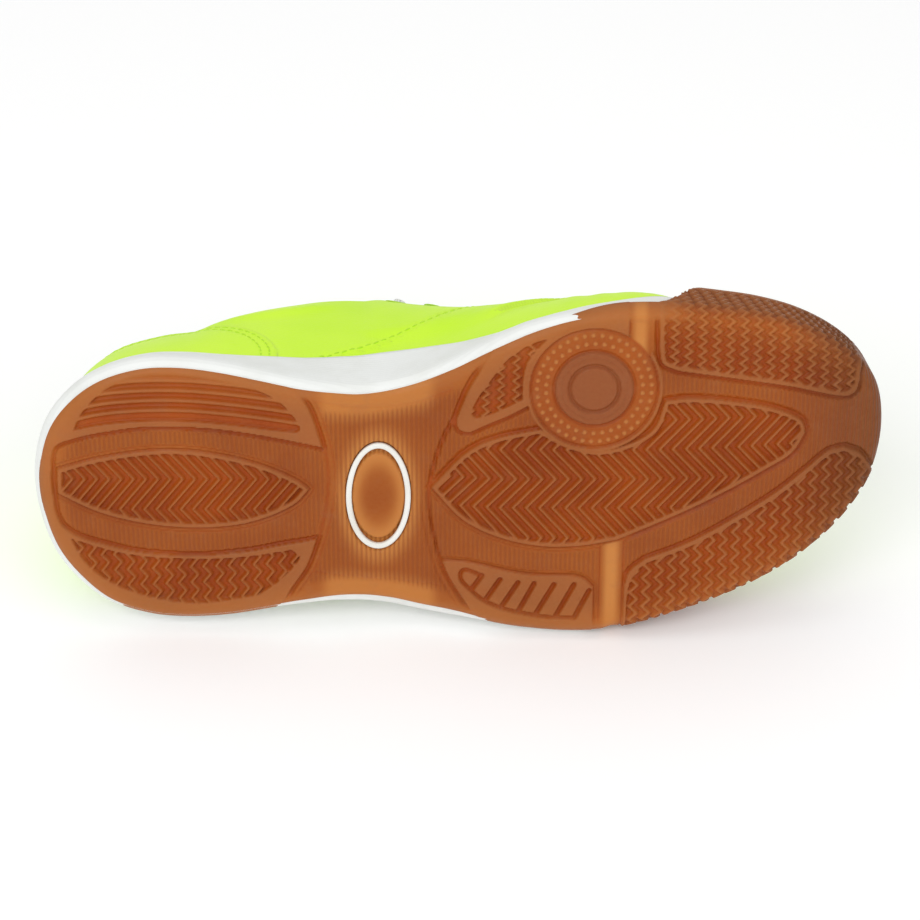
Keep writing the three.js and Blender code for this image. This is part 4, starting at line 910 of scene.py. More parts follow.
def gum_material():
    n = Nodes("gum_rubber")
    floor = n.attribute("floor")
    glow = n.attribute("glow")
    wall = n.attribute("wall")
    ribbed = n.attribute("ribbed")
    shoe = n.attribute("shoe", "Vector")
    flat = n.attribute("flat", "Vector")
    cloudy = n.noise(shoe, 0.035, 2.0)
    patch = n.remap(cloudy, 0.35, 0.65)
    tops = n.mix(patch, srgb("985628"), srgb("A25C2C"))
    channel = n.mix(patch, srgb("96480F"), srgb("A45516"))
    deep = n.mix(patch, srgb("9A3E06"), srgb("AE4E0A"))
    # painted shade: recessed channels take the darker channel colour, groove and pocket floors the darker deep colour
    color = n.mix(n.attribute("sunk"), tops, channel)
    color = n.mix(floor, color, deep)
    color = n.mix(n.times(n.attribute("worn"), 0.8), color, srgb("8C4A26"))
    color = n.mix(n.times(glow, 0.9), color, srgb("CB8440"))
    x, y, dist = n.axes(flat)
    thin_edge = n.times(n.remap(dist, -5.0, 2.0), n.math("SUBTRACT", 1.0, wall))
    color = n.mix(n.times(thin_edge, 0.38), color, srgb("C07432"))
    # painted shade: up the wrapped side wall, turned away from the light, the gum turns darker brown, darker still
    # over groove floors
    color = n.mix(n.times(wall, 0.75), color, n.mix(floor, srgb("8C5832"), srgb("70401A")))
    # painted shade: the toe darkens towards its tip, where the sole turns away from the light
    color = n.mix(n.remap(x, 204.0, 232.0, 0.0, 0.84), color, srgb("63371A"))
    fine = n.noise(shoe, 0.9, 4.0)
    color = n.mix(n.remap(fine, 0.3, 0.8, 0.0, 0.10), color, srgb("C08048"))
    dust = n.times(n.remap(n.noise(shoe, 0.16, 5.0), 0.55, 0.75), 0.22)
    color = n.mix(dust, color, srgb("9C6440"))
    # Fine cross ribs on channels and shank: a bump, and painted shade in the troughs between them
    ribs = n.times(n.wave(x, 1.28), ribbed)
    shade = n.times(n.remap(ribs, -1.0, 0.2, 1.0, 0.0), ribbed)
    color = n.mix(n.times(shade, 0.50), color, srgb("8A4218"))
    normal = n.bump(ribs, 0.8, 0.00014)
    normal = n.bump(fine, 0.25, 0.00010, normal)
    rough = n.remap(n.noise(shoe, 0.3, 3.0), 0.3, 0.7, 0.40, 0.55)
    return n.finish(color, rough, normal, Specular_IOR_Level=0.22, Subsurface_Weight=0.08, Subsurface_Scale=0.004)


gum = gum_material()
for piece in build_outsole():
    piece.data.materials.append(gum)
    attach(piece, "root")
    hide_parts("outsole")


# Oval ring seated in the shank
def build_oval_ring():
    turns, section = 96, 12
    rows = []
    for k in range(section):
        a = 2 * math.pi * k / section
        side = math.copysign(abs(math.cos(a)) ** 0.5, math.cos(a)) * OVAL_RING_WIDTH / 2
        rise = math.copysign(abs(math.sin(a)) ** 0.5, math.sin(a)) * 0.75
        t = np.linspace(0, 2 * math.pi, turns, endpoint=False)
        mid = -OVAL_RING_WIDTH / 2 + side
        px = OVAL_CENTRE[0] + (OVAL_HALF_WIDTH + mid) * np.cos(t)
        py = OVAL_CENTRE[1] + (OVAL_HALF_LENGTH + mid) * np.sin(t)
        rows.append(np.stack([px, py, sole_height(px) + 1.02 + rise], 1))
    points = np.concatenate(rows)
    faces = grid_faces(section + 1, turns, wrap=True)
    faces = faces % (section * turns)
    return make_mesh("shank_ring", points, faces[:, ::-1])


def plain_material(name, code, rough, grain, height, tint=None, **extra):
    n = Nodes(name)
    shoe = n.attribute("shoe", "Vector")
    fine = n.noise(shoe, grain, 4.0)
    color = srgb(code)
    if tint:
        color = n.mix(n.remap(n.noise(shoe, 0.06, 3.0), 0.35, 0.7), srgb(code), srgb(tint))
    return n.finish(color, n.remap(fine, 0.2, 0.8, rough - 0.06, rough + 0.06), n.bump(fine, 0.3, height), **extra)


ring = build_oval_ring()
ring.data.materials.append(plain_material("ring_white", "F2F2EC", 0.45, 1.5, 0.00006, "E4E2D8"))
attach(ring, "root")
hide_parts("oval_ring")


# The upper's spine: share of the length, Y and height as shares of ball width and instep height, and how full
# the section is on the medial and lateral side
SPINE = [
    [0.172, 0.020, 1.04, 1.80, 1.95], [0.240, 0.000, 1.30, 2.50, 2.20], [0.285, -0.010, 1.42, 2.90, 2.25],
    [0.320, -0.020, 1.48, 3.15, 2.30], [0.362, -0.030, 1.36, 3.30, 2.35], [0.405, -0.045, 1.20, 3.40, 2.40],
    [0.448, -0.060, 1.08, 3.40, 2.45], [0.496, -0.080, 0.97, 3.05, 2.40], [0.543, -0.100, 0.87, 2.75, 2.25],
    [0.590, -0.118, 0.78, 2.60, 2.12], [0.638, -0.130, 0.695, 2.80, 2.10], [0.681, -0.135, 0.630, 2.95, 2.10],
    [0.733, -0.138, 0.560, 2.75, 2.12], [0.785, -0.138, 0.505, 2.30, 2.16], [0.828, -0.138, 0.470, 2.20, 2.20],
]
HEEL_BACK_RISE = 1.10
HEEL_FULLNESS = [[0.020, 2.20, 2.20], [0.070, 1.70, 1.95], [0.120, 1.62, 1.90]]
SPINE_REAR = SPINE[0][0]
SPINE_FRONT = SPINE[-1][0]
MEDIAL_REACH = [[0, 2.6], [0.2, 2.4], [0.3, 5.0], [0.39, 7.0], [0.46, 6.0], [0.55, 2.8], [0.7, 2.2], [1, 2.2]]
LATERAL_REACH = [[0, 2.6], [0.2, 2.6], [0.38, 4.6], [0.5, 3.2], [0.7, 2.2], [1, 2.2]]
WRAP_LEAD = 0.020
WRAPPED_SIDE_REACH = 1.6
WRAPPED_TOP_REACH = 1.4


def column(k):
    return [[row[0], row[k]] for row in SPINE]


def spine_y(share):
    return along(column(1), share) * BALL_WIDTH


def spine_z(share):
    return along(column(2), share) * INSTEP_HEIGHT


def fullness(share, medial):
    heel = [[row[0], row[1]] for row in HEEL_FULLNESS], [[row[0], row[2]] for row in HEEL_FULLNESS]
    return np.where(medial, along(heel[0] + column(3), share), along(heel[1] + column(4), share))


def floor_height(share):
    return sole_height(share * SOLE_LENGTH) + mix(HEEL_FLOOR, BALL_FLOOR, smooth(0.3, 0.62, share))


def feather_height(share, y):
    peak = np.where(y < 0, ARCH_FEATHER, mix(HEEL_FEATHER, ARCH_FEATHER, 0.4))
    rear = mix(HEEL_FEATHER, peak, smooth(0.15, 0.40, share))
    front = mix(rear, BALL_FEATHER, smooth(0.40, 0.60, share))
    return mix(front, TOE_FEATHER, smooth(0.66, 0.74, share)) + sole_height(share * SOLE_LENGTH) * 0.9


def top_reach(share, y):
    reach = np.where(y < 0, along(MEDIAL_REACH, share), along(LATERAL_REACH, share))
    return mix(reach, WRAPPED_TOP_REACH, wrap_share(share * SOLE_LENGTH, y))


def sidewall_reach(share, y, bulge):
    return mix(bulge, WRAPPED_SIDE_REACH, wrap_share(share * SOLE_LENGTH, y, WRAP_LEAD))


def edge_normals():
    """Outward normals of the tread edge, from the heel tip along the medial side and back."""
    tangent = unit(np.roll(EDGE, -6, axis=0) - np.roll(EDGE, 6, axis=0))
    return np.stack([tangent[:, 1], -tangent[:, 0]], 1)


EDGE_NORMALS = edge_normals()
TIP = int(np.abs(EDGE - np.array(TOE_TIP)).sum(1).argmin())


def build_stations(rear, middle, front):
    """Edge points and normals of the stations round the shoe, and the flag of the medial side. Both sides have
    the same X in the middle, so that they meet on the spine."""
    base = top_reach(EDGE[:, 0] / SOLE_LENGTH, EDGE[:, 1]) - LIP_THICKNESS
    base_x = EDGE[:, 0] + EDGE_NORMALS[:, 0] * base
    sides = []
    for ids in (np.arange(0, TIP + 1), np.concatenate([[0], np.arange(len(EDGE) - 1, TIP - 1, -1)])):
        xs = np.maximum.accumulate(base_x[ids])
        place = np.arange(len(ids), dtype=float)
        at_rear = np.interp(SPINE_REAR * SOLE_LENGTH, xs, place)
        at_front = np.interp(SPINE_FRONT * SOLE_LENGTH, xs, place)
        mid_x = np.linspace(SPINE_REAR * SOLE_LENGTH, SPINE_FRONT * SOLE_LENGTH, middle + 1)
        t = np.concatenate([
            np.linspace(0, at_rear, rear + 1)[:-1], np.interp(mid_x, xs, place),
            np.linspace(at_front, len(ids) - 1, front + 1)[1:],
        ])
        p = np.stack([np.interp(t, place, EDGE[ids, k]) for k in (0, 1)], 1)
        q = np.stack([np.interp(t, place, EDGE_NORMALS[ids, k]) for k in (0, 1)], 1)
        sides.append((p, unit(q)))
    (pm, nm), (pl, nl) = sides
    points = np.concatenate([pm, pl[-2:0:-1]])
    normals = np.concatenate([nm, nl[-2:0:-1]])
    medial = np.concatenate([np.ones(len(pm), bool), np.zeros(len(pl) - 2, bool)])
    return points, normals, medial


def form_points(stations, angle):
    """Points of the upper's outer form; angle is an array of shape (levels, stations)."""
    p, normal, medial = stations
    share = p[:, 0] / SOLE_LENGTH
    base = top_reach(share, p[:, 1]) - LIP_THICKNESS
    bx, by = p[:, 0] + normal[:, 0] * base, p[:, 1] + normal[:, 1] * base
    bz = feather_height(share, p[:, 1])
    at = np.clip(bx / SOLE_LENGTH, SPINE_REAR, SPINE_FRONT)
    inside = np.abs(at - bx / SOLE_LENGTH) < 1e-9
    sx = np.where(inside, bx, at * SOLE_LENGTH)
    sy = spine_y(at)
    behind = np.clip(1 - (bx / SOLE_LENGTH) / SPINE_REAR, 0, 1)
    sz = spine_z(at) * mix(1, HEEL_BACK_RISE, behind)
    full = fullness(share, medial)
    lean = np.cos(angle * math.pi / 2).clip(0, 1) ** (2 / full)
    rise = np.sin(angle * math.pi / 2).clip(0, 1) ** (2 / full)
    return np.stack([mix(sx, bx, lean), mix(sy, by, lean), mix(bz, sz, rise)], -1)


def grid_normals(grid):
    """Outward normals of a closed grid of rings, (levels, stations, 3)."""
    across = np.roll(grid, -1, axis=1) - np.roll(grid, 1, axis=1)
    upward = np.empty_like(grid)
    upward[1:-1] = grid[2:] - grid[:-2]
    upward[0] = grid[1] - grid[0]
    upward[-1] = grid[-1] - grid[-2]
    normal = np.cross(across, upward)
    return normal / np.maximum(np.linalg.norm(normal, axis=-1, keepdims=True), 1e-9)


# Side-view outlines of overlays and topline, as shares of sole length and instep height
def side_line(rows, steps=8):
    return spline([[a * SOLE_LENGTH, b * INSTEP_HEIGHT] for a, b in rows], steps)


QUARTER_FRONT = side_line([[0.315, 0.20], [0.350, 0.33], [0.410, 0.47], [0.470, 0.61], [0.520, 0.74], [0.560, 0.95]])
COUNTER_TOP = side_line([
    [0.281, 0.20], [0.276, 0.36], [0.256, 0.49], [0.224, 0.575], [0.181, 0.635], [0.142, 0.675], [0.07, 0.72],
    [-0.03, 0.72],
])
COLLAR_LINE = side_line([
    [-0.06, 0.82], [0.03, 0.820], [0.09, 0.780], [0.15, 0.760], [0.21, 0.790], [0.27, 0.865], [0.32, 0.945],
    [0.37, 1.010], [0.42, 1.050], [0.48, 1.130],
])
THROAT_REAR = 0.33
THROAT_FRONT = 0.635
THROAT_FLARE = 7.0
THROAT_FLARE_END = 0.425


def throat_half(share):
    t = (share - THROAT_REAR) / (THROAT_FRONT - THROAT_REAR)
    flare = THROAT_FLARE * np.clip((THROAT_FLARE_END - share) / (THROAT_FLARE_END - THROAT_REAR), 0, 1) ** 2
    return mix(THROAT_HALF_WIDTH * 1.15, THROAT_HALF_WIDTH * 0.8, t) + flare


def past_topline(points):
    """Positive above the collar line or inside the throat."""
    x, y, z = points[..., 0], points[..., 1], points[..., 2]
    share = x / SOLE_LENGTH
    collar = np.where(x < 0.47 * SOLE_LENGTH, z - np.interp(x, COLLAR_LINE[:, 0], COLLAR_LINE[:, 1]), -50)
    side = np.abs(y - spine_y(share))
    half = throat_half(np.clip(share, THROAT_REAR, THROAT_FRONT))
    ahead = np.clip((x - THROAT_FRONT * SOLE_LENGTH) / 5.0, 0, 1)
    rounded = half * np.sqrt(np.clip(1 - ahead ** 2, 0, 1)) - side - 0.01
    throat = np.where((share > THROAT_REAR) & (ahead < 1), rounded, -50)
    return np.maximum(collar, throat)


def top_angles(stations):
    tries = np.linspace(0, 1, 401)
    grid = form_points(stations, np.repeat(tries[:, None], len(stations[0]), axis=1))
    value = past_topline(grid)
    over = value > 0
    first = np.where(over.any(0), over.argmax(0), 0)
    columns = np.arange(value.shape[1])
    v1, v0 = value[first, columns], value[np.maximum(first - 1, 0), columns]
    t = np.where(v0 > -20, np.clip(-v0 / np.maximum(v1 - v0, 1e-9), 0, 1), 0.5)
    angle = (first - 1 + t) / (len(tries) - 1)
    return np.where(over.any(0), angle, 1.0)


UPPER_LEVELS = 70
UPPER_STATIONS = build_stations(58, 190, 58)
UPPER_TOPS = top_angles(UPPER_STATIONS)


# Soft troughs where the forefoot flexes: place along the sole, lean, depth in mm
FLEX_TROUGHS = [(0.665, 0.10, 0.55), (0.702, 0.16, 0.4), (0.620, 0.04, 0.3)]
# Distance of the seams from the edge of their panel
SEAM_INSET = 2.0
SECOND_SEAM_INSET = 4.4


def overlay_offset(points):
    """How far the outer surface stands out over the form: quarter, counter and eyestay with their seams."""
    x, y, z = points[..., 0].ravel(), points[..., 1].ravel(), points[..., 2].ravel()
    share = x / SOLE_LENGTH
    corners = [[0.56 * SOLE_LENGTH, 200], [-20, 200], [-20, 0], [QUARTER_FRONT[0][0], 0]]
    quarter = np.concatenate([QUARTER_FRONT, corners])
    counter = np.concatenate([COUNTER_TOP, [[-20, COUNTER_TOP[-1][1]], [-20, 0], [COUNTER_TOP[0][0], 0]]])
    dq = polygon_distance(x, z, quarter, 90)
    dc = polygon_distance(x, z, counter, 90)
    side = np.abs(y - spine_y(share))
    half = throat_half(np.clip(share, THROAT_REAR, THROAT_FRONT)) + EYESTAY_WIDTH
    front_x = THROAT_FRONT * SOLE_LENGTH
    tip = np.clip((x - front_x) / (EYESTAY_WIDTH * 0.8), 0, 1)
    de = np.where(x < front_x, side - half, np.hypot(side, (x - front_x) * 1.9) - half)
    stay = smooth(0.345, 0.400, share) * smooth(0.42, 0.60, z / INSTEP_HEIGHT)
    offset = QUARTER_STEP * (1 - smooth(-0.35, 0.35, dq))
    offset = np.maximum(offset, COUNTER_STEP * (1 - smooth(-0.35, 0.35, dc)))
    offset = np.maximum(offset, EYESTAY_STEP * (1 - smooth(-0.35, 0.35, de)) * stay)
    seams = np.abs([dq + SEAM_INSET, dc + SEAM_INSET, dc + SECOND_SEAM_INSET]).min(0)
    offset = offset - 0.28 * np.exp(-(seams / 0.7) ** 2) - 0.2 * stay * np.exp(-((de + SEAM_INSET) / 0.7) ** 2)
    de = np.where(stay > 0.6, de, 9)
    for at, lean, deep in FLEX_TROUGHS:
        line = at * SOLE_LENGTH + lean * (y + 12)
        fade = smooth(16, 34, z) * (1 - smooth(0.72, 0.80, share))
        offset = offset - deep * np.exp(-((x - line) / 3.2) ** 2) * fade
    return [values.reshape(points.shape[:-1]) for values in (offset, dq, dc, de)]


# The outer form as a height over plan positions, and places lifted off it
def form_height(x, y):
    share = x / SOLE_LENGTH
    ridge_y, ridge_z = spine_y(share), spine_z(share)
    medial = y < ridge_y
    level = form_points(UPPER_STATIONS, np.zeros((1, len(UPPER_STATIONS[0]))))[0]
    half = UPPER_STATIONS[2]
    base = []
    for part in (level[half], level[~half]):
        order = np.argsort(part[:, 0])
        base.append([np.interp(x, part[order, 0], part[order, k]) for k in (1, 2)])
    base_y = np.where(medial, base[0][0], base[1][0])
    base_z = np.where(medial, base[0][1], base[1][1])
    full = fullness(share, medial)
    lean = np.clip(np.abs((y - ridge_y) / (base_y - ridge_y)), 0, 1)
    return mix(base_z, ridge_z, (1 - lean ** full) ** (1 / full))


def over_form(x, y, outward):
    x, y, outward = np.broadcast_arrays(np.asarray(x, float), np.asarray(y, float), np.asarray(outward, float))
    z = form_height(x, y)
    slope_x = (form_height(x + 0.5, y) - form_height(x - 0.5, y))
    slope_y = (form_height(x, y + 0.5) - form_height(x, y - 0.5))
    normal = np.stack([-slope_x, -slope_y, np.ones_like(z)], -1)
    normal = unit(normal)
    return np.stack([x, y, z], -1) + normal * outward[..., None], normal


def eyelet_places():
    places = []
    for row in range(EYELET_ROWS):
        share = mix(0.610, 0.415, row / (EYELET_ROWS - 1))
        places.append((share * SOLE_LENGTH, spine_y(share), throat_half(share) + EYELET_EDGE))
    return places


def eyelet_spots(outward):
    return [over_form(at, centre_y + side * half, outward)
            for at, centre_y, half in eyelet_places() for side in (-1, 1)]


def punch(points, faces):
    """Opens the eyelets: faces inside a hole go, and what is left of its edge is set on the circle."""
    points = points.copy()
    middle = points[faces].mean(1)
    kept = np.ones(len(faces), bool)
    hole = EYELET_RADIUS + 0.35

    def from_axis(spots):
        away = spots - place
        deep = away @ normal
        out = away - deep[:, None] * normal
        radial = np.linalg.norm(out, axis=1)
        return out, radial, (radial < hole) & (np.abs(deep) < 8)

    for place, normal in eyelet_spots(0.0):
        kept &= ~from_axis(middle)[2]
        out, radial, move = from_axis(points)
        move &= radial > 1e-6
        points[move] += out[move] * (hole / radial[move] - 1)[:, None]
    return points, kept


def build_upper():
    stations, tops = UPPER_STATIONS, UPPER_TOPS
    count = len(tops)
    levels = UPPER_LEVELS
    u = np.linspace(0, 1, levels) ** 0.92
    angle = u[:, None] * tops[None, :]
    grid = form_points(stations, angle)
    normal = grid_normals(grid)
    closed = tops > 0.9995
    normal[-1, closed] = normal[-2, closed]
    normal[0, :, 2] = 0
    normal[0] = unit(normal[0])
    offset, dq, dc, de = overlay_offset(grid)
    # Distance below the topline, for the padded collar
    lengths = np.linalg.norm(np.diff(grid, axis=0), axis=-1)
    below = np.concatenate([np.cumsum(lengths[::-1], axis=0)[::-1], np.zeros((1, count))])
    open_edge = (~closed)[None, :]
    collar = open_edge * (1 - smooth(0.30, 0.36, grid[..., 0] / SOLE_LENGTH))
    puff = collar * np.exp(-((below - 5.5) / 4.0) ** 2)
    outer = grid + normal * (offset + 0.9 * puff)[..., None]
    inner = grid - normal * (UPPER_WALL + 1.6 * puff)[..., None]
    # Both surfaces go straight down to the footbed
    foot_z = floor_height(outer[0, :, 0] / SOLE_LENGTH) + CLEARANCE
    outer_foot, inner_foot = outer[0].copy(), inner[0].copy()
    outer_foot[:, 2] = inner_foot[:, 2] = foot_z
    # Rounded rim between outer and inner surface
    rim = []
    up = grid[-1] - grid[-2]
    up /= np.maximum(np.linalg.norm(up, axis=-1, keepdims=True), 1e-9)
    mid, half = (outer[-1] + inner[-1]) / 2, (outer[-1] - inner[-1]) / 2
    bulge = np.where(closed, 0.0, 1.0)[:, None] * np.linalg.norm(half, axis=-1, keepdims=True) * 0.8
    for a in (math.pi * 0.25, math.pi * 0.5, math.pi * 0.75):
        rim.append(mid + half * math.cos(a) + up * bulge * math.sin(a))
    rows = [outer_foot, *outer, *rim, *inner[::-1], inner_foot]
    points = np.concatenate(rows)
    faces = grid_faces(len(rows) + 1, count, wrap=True) % len(points)
    # Where the top is closed there is no rim
    col = np.tile(np.arange(count), len(rows))
    row = np.repeat(np.arange(len(rows)), count)
    at_rim = (row >= levels) & (row < levels + 4)
    both_closed = closed[col] & closed[(col + 1) % count]
    faces = faces[~(at_rim & both_closed)]
    lining = ((row >= levels + 2) & (row < len(rows) - 1))[~(at_rim & both_closed)]
    faces = faces[:, ::-1]
    points, kept = punch(points, faces)
    faces, lining = faces[kept], lining[kept]
    obj = make_mesh("upper_shell", points, faces)
    # Distance to the nearest cut edge of a panel, and a large value where there is none
    cut = np.full((len(rows), count), 9.0)
    cut[1:levels + 1] = np.abs([dq, dc, de]).min(0)
    attribute(obj.data, "cut", cut.ravel())
    return obj, outer, normal, lining


upper, OUTER, OUTER_NORMAL, upper_lining = build_upper()


def upper_material():
    n = Nodes("upper_yellow")
    shoe = n.attribute("shoe", "Vector")
    cut = n.attribute("cut")
    broad = n.noise(shoe, 0.03, 2.0)
    color = n.mix(n.remap(broad, 0.3, 0.7), srgb("CCFA2A"), srgb("D6FF38"))
    pebble = n.cells(shoe, 1.25)
    fine = n.noise(shoe, 2.2, 4.0)
    color = n.mix(n.remap(pebble, 0.0, 0.25, 0.16, 0.0), color, srgb("A9DC22"))
    # greyer along the panels' cut edges: partly the cut edge's own colour, partly painted shade at the step
    edge = n.remap(cut, 0.0, 0.40, 0.40, 0.0)
    color = n.mix(edge, color, srgb("9EAF5A"))
    height = n.math("ADD", n.times(pebble, 0.7), n.times(fine, 0.4))
    wrinkle = n.noise(n.scale(shoe, (1.0, 0.4, 0.6)), 0.10, 5.0, 0.6)
    normal = n.bump(wrinkle, 0.30, 0.0012)
    normal = n.bump(height, 0.35, 0.00022, normal)
    rough = n.remap(fine, 0.25, 0.75, 0.42, 0.54)
    return n.finish(color, rough, normal, Specular_IOR_Level=0.25, Coat_Weight=0.04, Coat_Roughness=0.4)


def fabric_material(name, code, second, pitch, rough=0.85):
    n = Nodes(name)
    shoe = n.attribute("shoe", "Vector")
    x, y, z = n.axes(shoe)
    weave = n.times(n.wave(n.math("ADD", x, z), pitch), n.wave(n.math("SUBTRACT", y, z), pitch))
    color = n.mix(n.remap(weave, -1.0, 1.0), srgb(second), srgb(code))
    fuzz = n.noise(shoe, 1.8, 3.0)
    color = n.mix(n.remap(fuzz, 0.3, 0.7, 0.0, 0.2), color, srgb(second))
    return n.finish(color, rough, n.bump(weave, 0.4, 0.00018), Sheen_Weight=0.2)


upper.data.materials.append(upper_material())
upper.data.materials.append(fabric_material("lining_mesh", "D9DCD8", "A9AEA9", 1.3))
upper.data.polygons.foreach_set("material_index", upper_lining.astype(np.int32))
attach(upper, "root")
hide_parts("upper")


# Midsole: sidewall with a lip that holds the upper, down to the footbed
def build_midsole():
    points, normals, _ = build_stations(60, 200, 70)
    share = points[:, 0] / SOLE_LENGTH
    y = points[:, 1]

    def ring(offset, height_of):
        x = points[:, 0] + normals[:, 0] * offset
        yy = points[:, 1] + normals[:, 1] * offset
        return np.stack([x, yy, height_of(x / SOLE_LENGTH, yy)], 1)

    rest = lambda rise: (lambda s, _: sole_height(s * SOLE_LENGTH) + rise)
    middle = lambda s, v: mix(sole_height(s * SOLE_LENGTH) + 4, feather_height(s, v), 0.5)
    lateral_trim = np.interp(share, [0.04, 0.10, 0.27, 0.36, 0.49, 0.57], [0, 0.6, 0.6, 0, 0, 1])
    medial_trim = np.interp(share, [0.58, 0.69], [0, 1.15])
    trim = np.where(y > 0, lateral_trim, medial_trim)
    bulge = sidewall_reach(share, y, mix(SIDEWALL_BULGE, 3.4, trim))
    top = top_reach(share, y)
    guides = np.stack([
        ring(sidewall_reach(share, y, mix(3.6, 2.4, trim)), rest(0.9)),
        ring(sidewall_reach(share, y, mix(SIDEWALL_BULGE - 0.5, 3.2, trim)), rest(2.0)),
        ring(bulge, rest(4)),
        ring(mix(bulge, top, 0.4), middle),
        ring(top, feather_height),
    ])
    side = spline(guides.reshape(5, -1), 6).reshape(25, -1, 3)
    lip = LIP_THICKNESS - CLEARANCE
    top_out = ring(top - 0.5, lambda s, v: feather_height(s, v) + 0.35)
    top_in = ring(top - lip + 0.3, lambda s, v: feather_height(s, v) + 0.3)
    wall = ring(top - lip, lambda s, v: feather_height(s, v) - 0.3)
    low = ring(top - lip, lambda s, v: floor_height(s) + 0.15)
    foot = ring(top - lip - 8, lambda s, v: floor_height(s) + 0.1)
    hidden = ring(sidewall_reach(share, y, 1.0), rest(GUM_THICKNESS + 1.2))
    wrapped = wrap_share(points[:, 0], y, WRAP_LEAD)[:, None]
    rows = [mix(ring(np.full(len(y), -1.5), rest(GUM_THICKNESS + 0.5)), hidden, wrapped),
            *side, top_out, top_in, wall, low, foot]
    rows[1:26] = [mix(r, np.where(r[:, 2:3] < hidden[:, 2:3], hidden, r), wrapped) for r in rows[1:26]]
    return make_mesh("midsole_wall", np.concatenate(rows), grid_faces(len(rows), len(points), wrap=True)[:, ::-1])


def foam_material():
    n = Nodes("foam_white")
    shoe = n.attribute("shoe", "Vector")
    x, y, z = n.axes(shoe)
    layers = n.wave(z, 1.15)
    fine = n.noise(shoe, 1.1, 5.0)
    stain = n.remap(n.noise(shoe, 0.09, 4.0), 0.45, 0.75, 0.0, 0.35)
    color = n.mix(stain, srgb("EDEFEC"), srgb("D9DAD2"))
    # painted shade in the troughs of the ripple lines
    color = n.mix(n.remap(layers, -1.0, 0.0, 0.08, 0.0), color, srgb("C6C9C6"))
    normal = n.bump(layers, 0.25, 0.00010)
    normal = n.bump(fine, 0.25, 0.00012, normal)
    return n.finish(color, n.remap(fine, 0.2, 0.8, 0.5, 0.62), normal, Specular_IOR_Level=0.4)


midsole = build_midsole()
midsole.data.materials.append(foam_material())
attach(midsole, "root")
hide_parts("midsole")


# Insole: a thin cupped sheet on the footbed, closed on the shoe's own middle line
def build_insole():
    p, normal, _ = build_stations(30, 100, 30)
    share = p[:, 0] / SOLE_LENGTH
    reach = top_reach(share, p[:, 1]) - LIP_THICKNESS - UPPER_WALL - CLEARANCE * 1.7
    bx, by = p[:, 0] + normal[:, 0] * reach, p[:, 1] + normal[:, 1] * reach
    sx = np.clip(bx, 0.09 * SOLE_LENGTH, 0.90 * SOLE_LENGTH)
    sy = along([[0.09, 0.0], [0.4, 0.03], [0.65, -0.04], [0.9, -0.13]], sx / SOLE_LENGTH) * BALL_WIDTH
    rows = []
    under, over = (0.0, 0.5, 1.0), (1.0, 0.97, 0.9, 0.75, 0.5, 0.25, 0.0)
    for rise, cup, spread in ((0.0, 0.0, under), (INSOLE_THICKNESS, 0.9, over)):
        for t in spread:
            x, y = mix(sx, bx, t), mix(sy, by, t)
            height = floor_height(x / SOLE_LENGTH) + CLEARANCE + rise + cup * smooth(0.7, 1.0, t)
            rows.append(np.stack([x, y, height], 1))
    points = np.concatenate(rows)
    return make_mesh("insole_sheet", points, grid_faces(len(rows), len(p), wrap=True)[:, ::-1])


insole = build_insole()
insole.data.materials.append(fabric_material("insole_fabric", "4A4E52", "2E3134", 1.6))
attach(insole, "root")
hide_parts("insole")


# Tongue: a padded sheet under the eyestays, from the vamp to above the collar
TONGUE_REAR = 0.30
TONGUE_FRONT = 0.672
TONGUE_TOP = 0.375
TONGUE_END_LEAN = 0.72
TONGUE_NARROWING = 0.72
TONGUE_ROUNDING = 2.2


def build_tongue():
    columns, rows = 49, 121
    s = np.linspace(-1, 1, columns)
    tries = np.linspace(TONGUE_FRONT, TONGUE_REAR, 400)
    top_x, top_z = TONGUE_TOP * SOLE_LENGTH, spine_z(TONGUE_TOP)

    def plan(share, side):
        half = TONGUE_HALF_WIDTH * mix(1, TONGUE_NARROWING, (share - TONGUE_REAR) / (TONGUE_FRONT - TONGUE_REAR))
        return share * SOLE_LENGTH, spine_y(share) + side * half

    ends = []
    for side in s:
        x, y = plan(tries, side)
        ahead = x - top_x - TONGUE_END_LEAN * (form_height(x, y) - 4.5 - top_z)
        over = np.nonzero(ahead < 0)[0]
        corner = 7.0 * (1 - math.sqrt(max(0.0, 1 - max(0.0, (abs(side) - 0.75) / 0.25) ** 2)))
        ends.append(tries[over[0]] + corner / SOLE_LENGTH if len(over) else TONGUE_REAR)
    share = mix(TONGUE_FRONT, np.array(ends)[None, :], np.linspace(0, 1, rows)[:, None])
    x, y = plan(share, s[None, :])
    middle = UPPER_WALL + CLEARANCE + TONGUE_THICKNESS / 2
    # Distance to the nearest border
    border_y = (1 - np.abs(s))[None, :] * TONGUE_HALF_WIDTH
    along_it = np.linspace(0, 1, rows)[:, None]
    near = np.minimum(border_y, np.minimum(along_it, 1 - along_it) * (x[0, 0] - x[-1, 0]))
    plump = np.sqrt(np.clip(1 - np.clip(1 - near / TONGUE_ROUNDING, 0, 1) ** 2, 0.0025, 1))
    # Quilted rows across the upper half
    quilt = 0.25 * np.exp(-(line_of(x, 11.0) / 0.9) ** 2) * smooth(3, 5, near) * (1 - smooth(0.44, 0.50, share))
    half = TONGUE_THICKNESS / 2 * plump
    top, _ = over_form(x, y, -middle + half - quilt)
    under, _ = over_form(x, y, -middle - half)
    points = np.concatenate([top.reshape(-1, 3), under.reshape(-1, 3)])
    n = rows * columns
    faces = [grid_faces(rows, columns), grid_faces(rows, columns, base=n, flip=True)]
    index = np.arange(n).reshape(rows, columns)
    for line in (index[0], index[:, -1], index[-1, ::-1], index[::-1, 0]):
        faces.append(np.stack([line[1:], line[:-1], line[:-1] + n, line[1:] + n], 1))
    return make_mesh("tongue_pad", points, np.concatenate(faces))


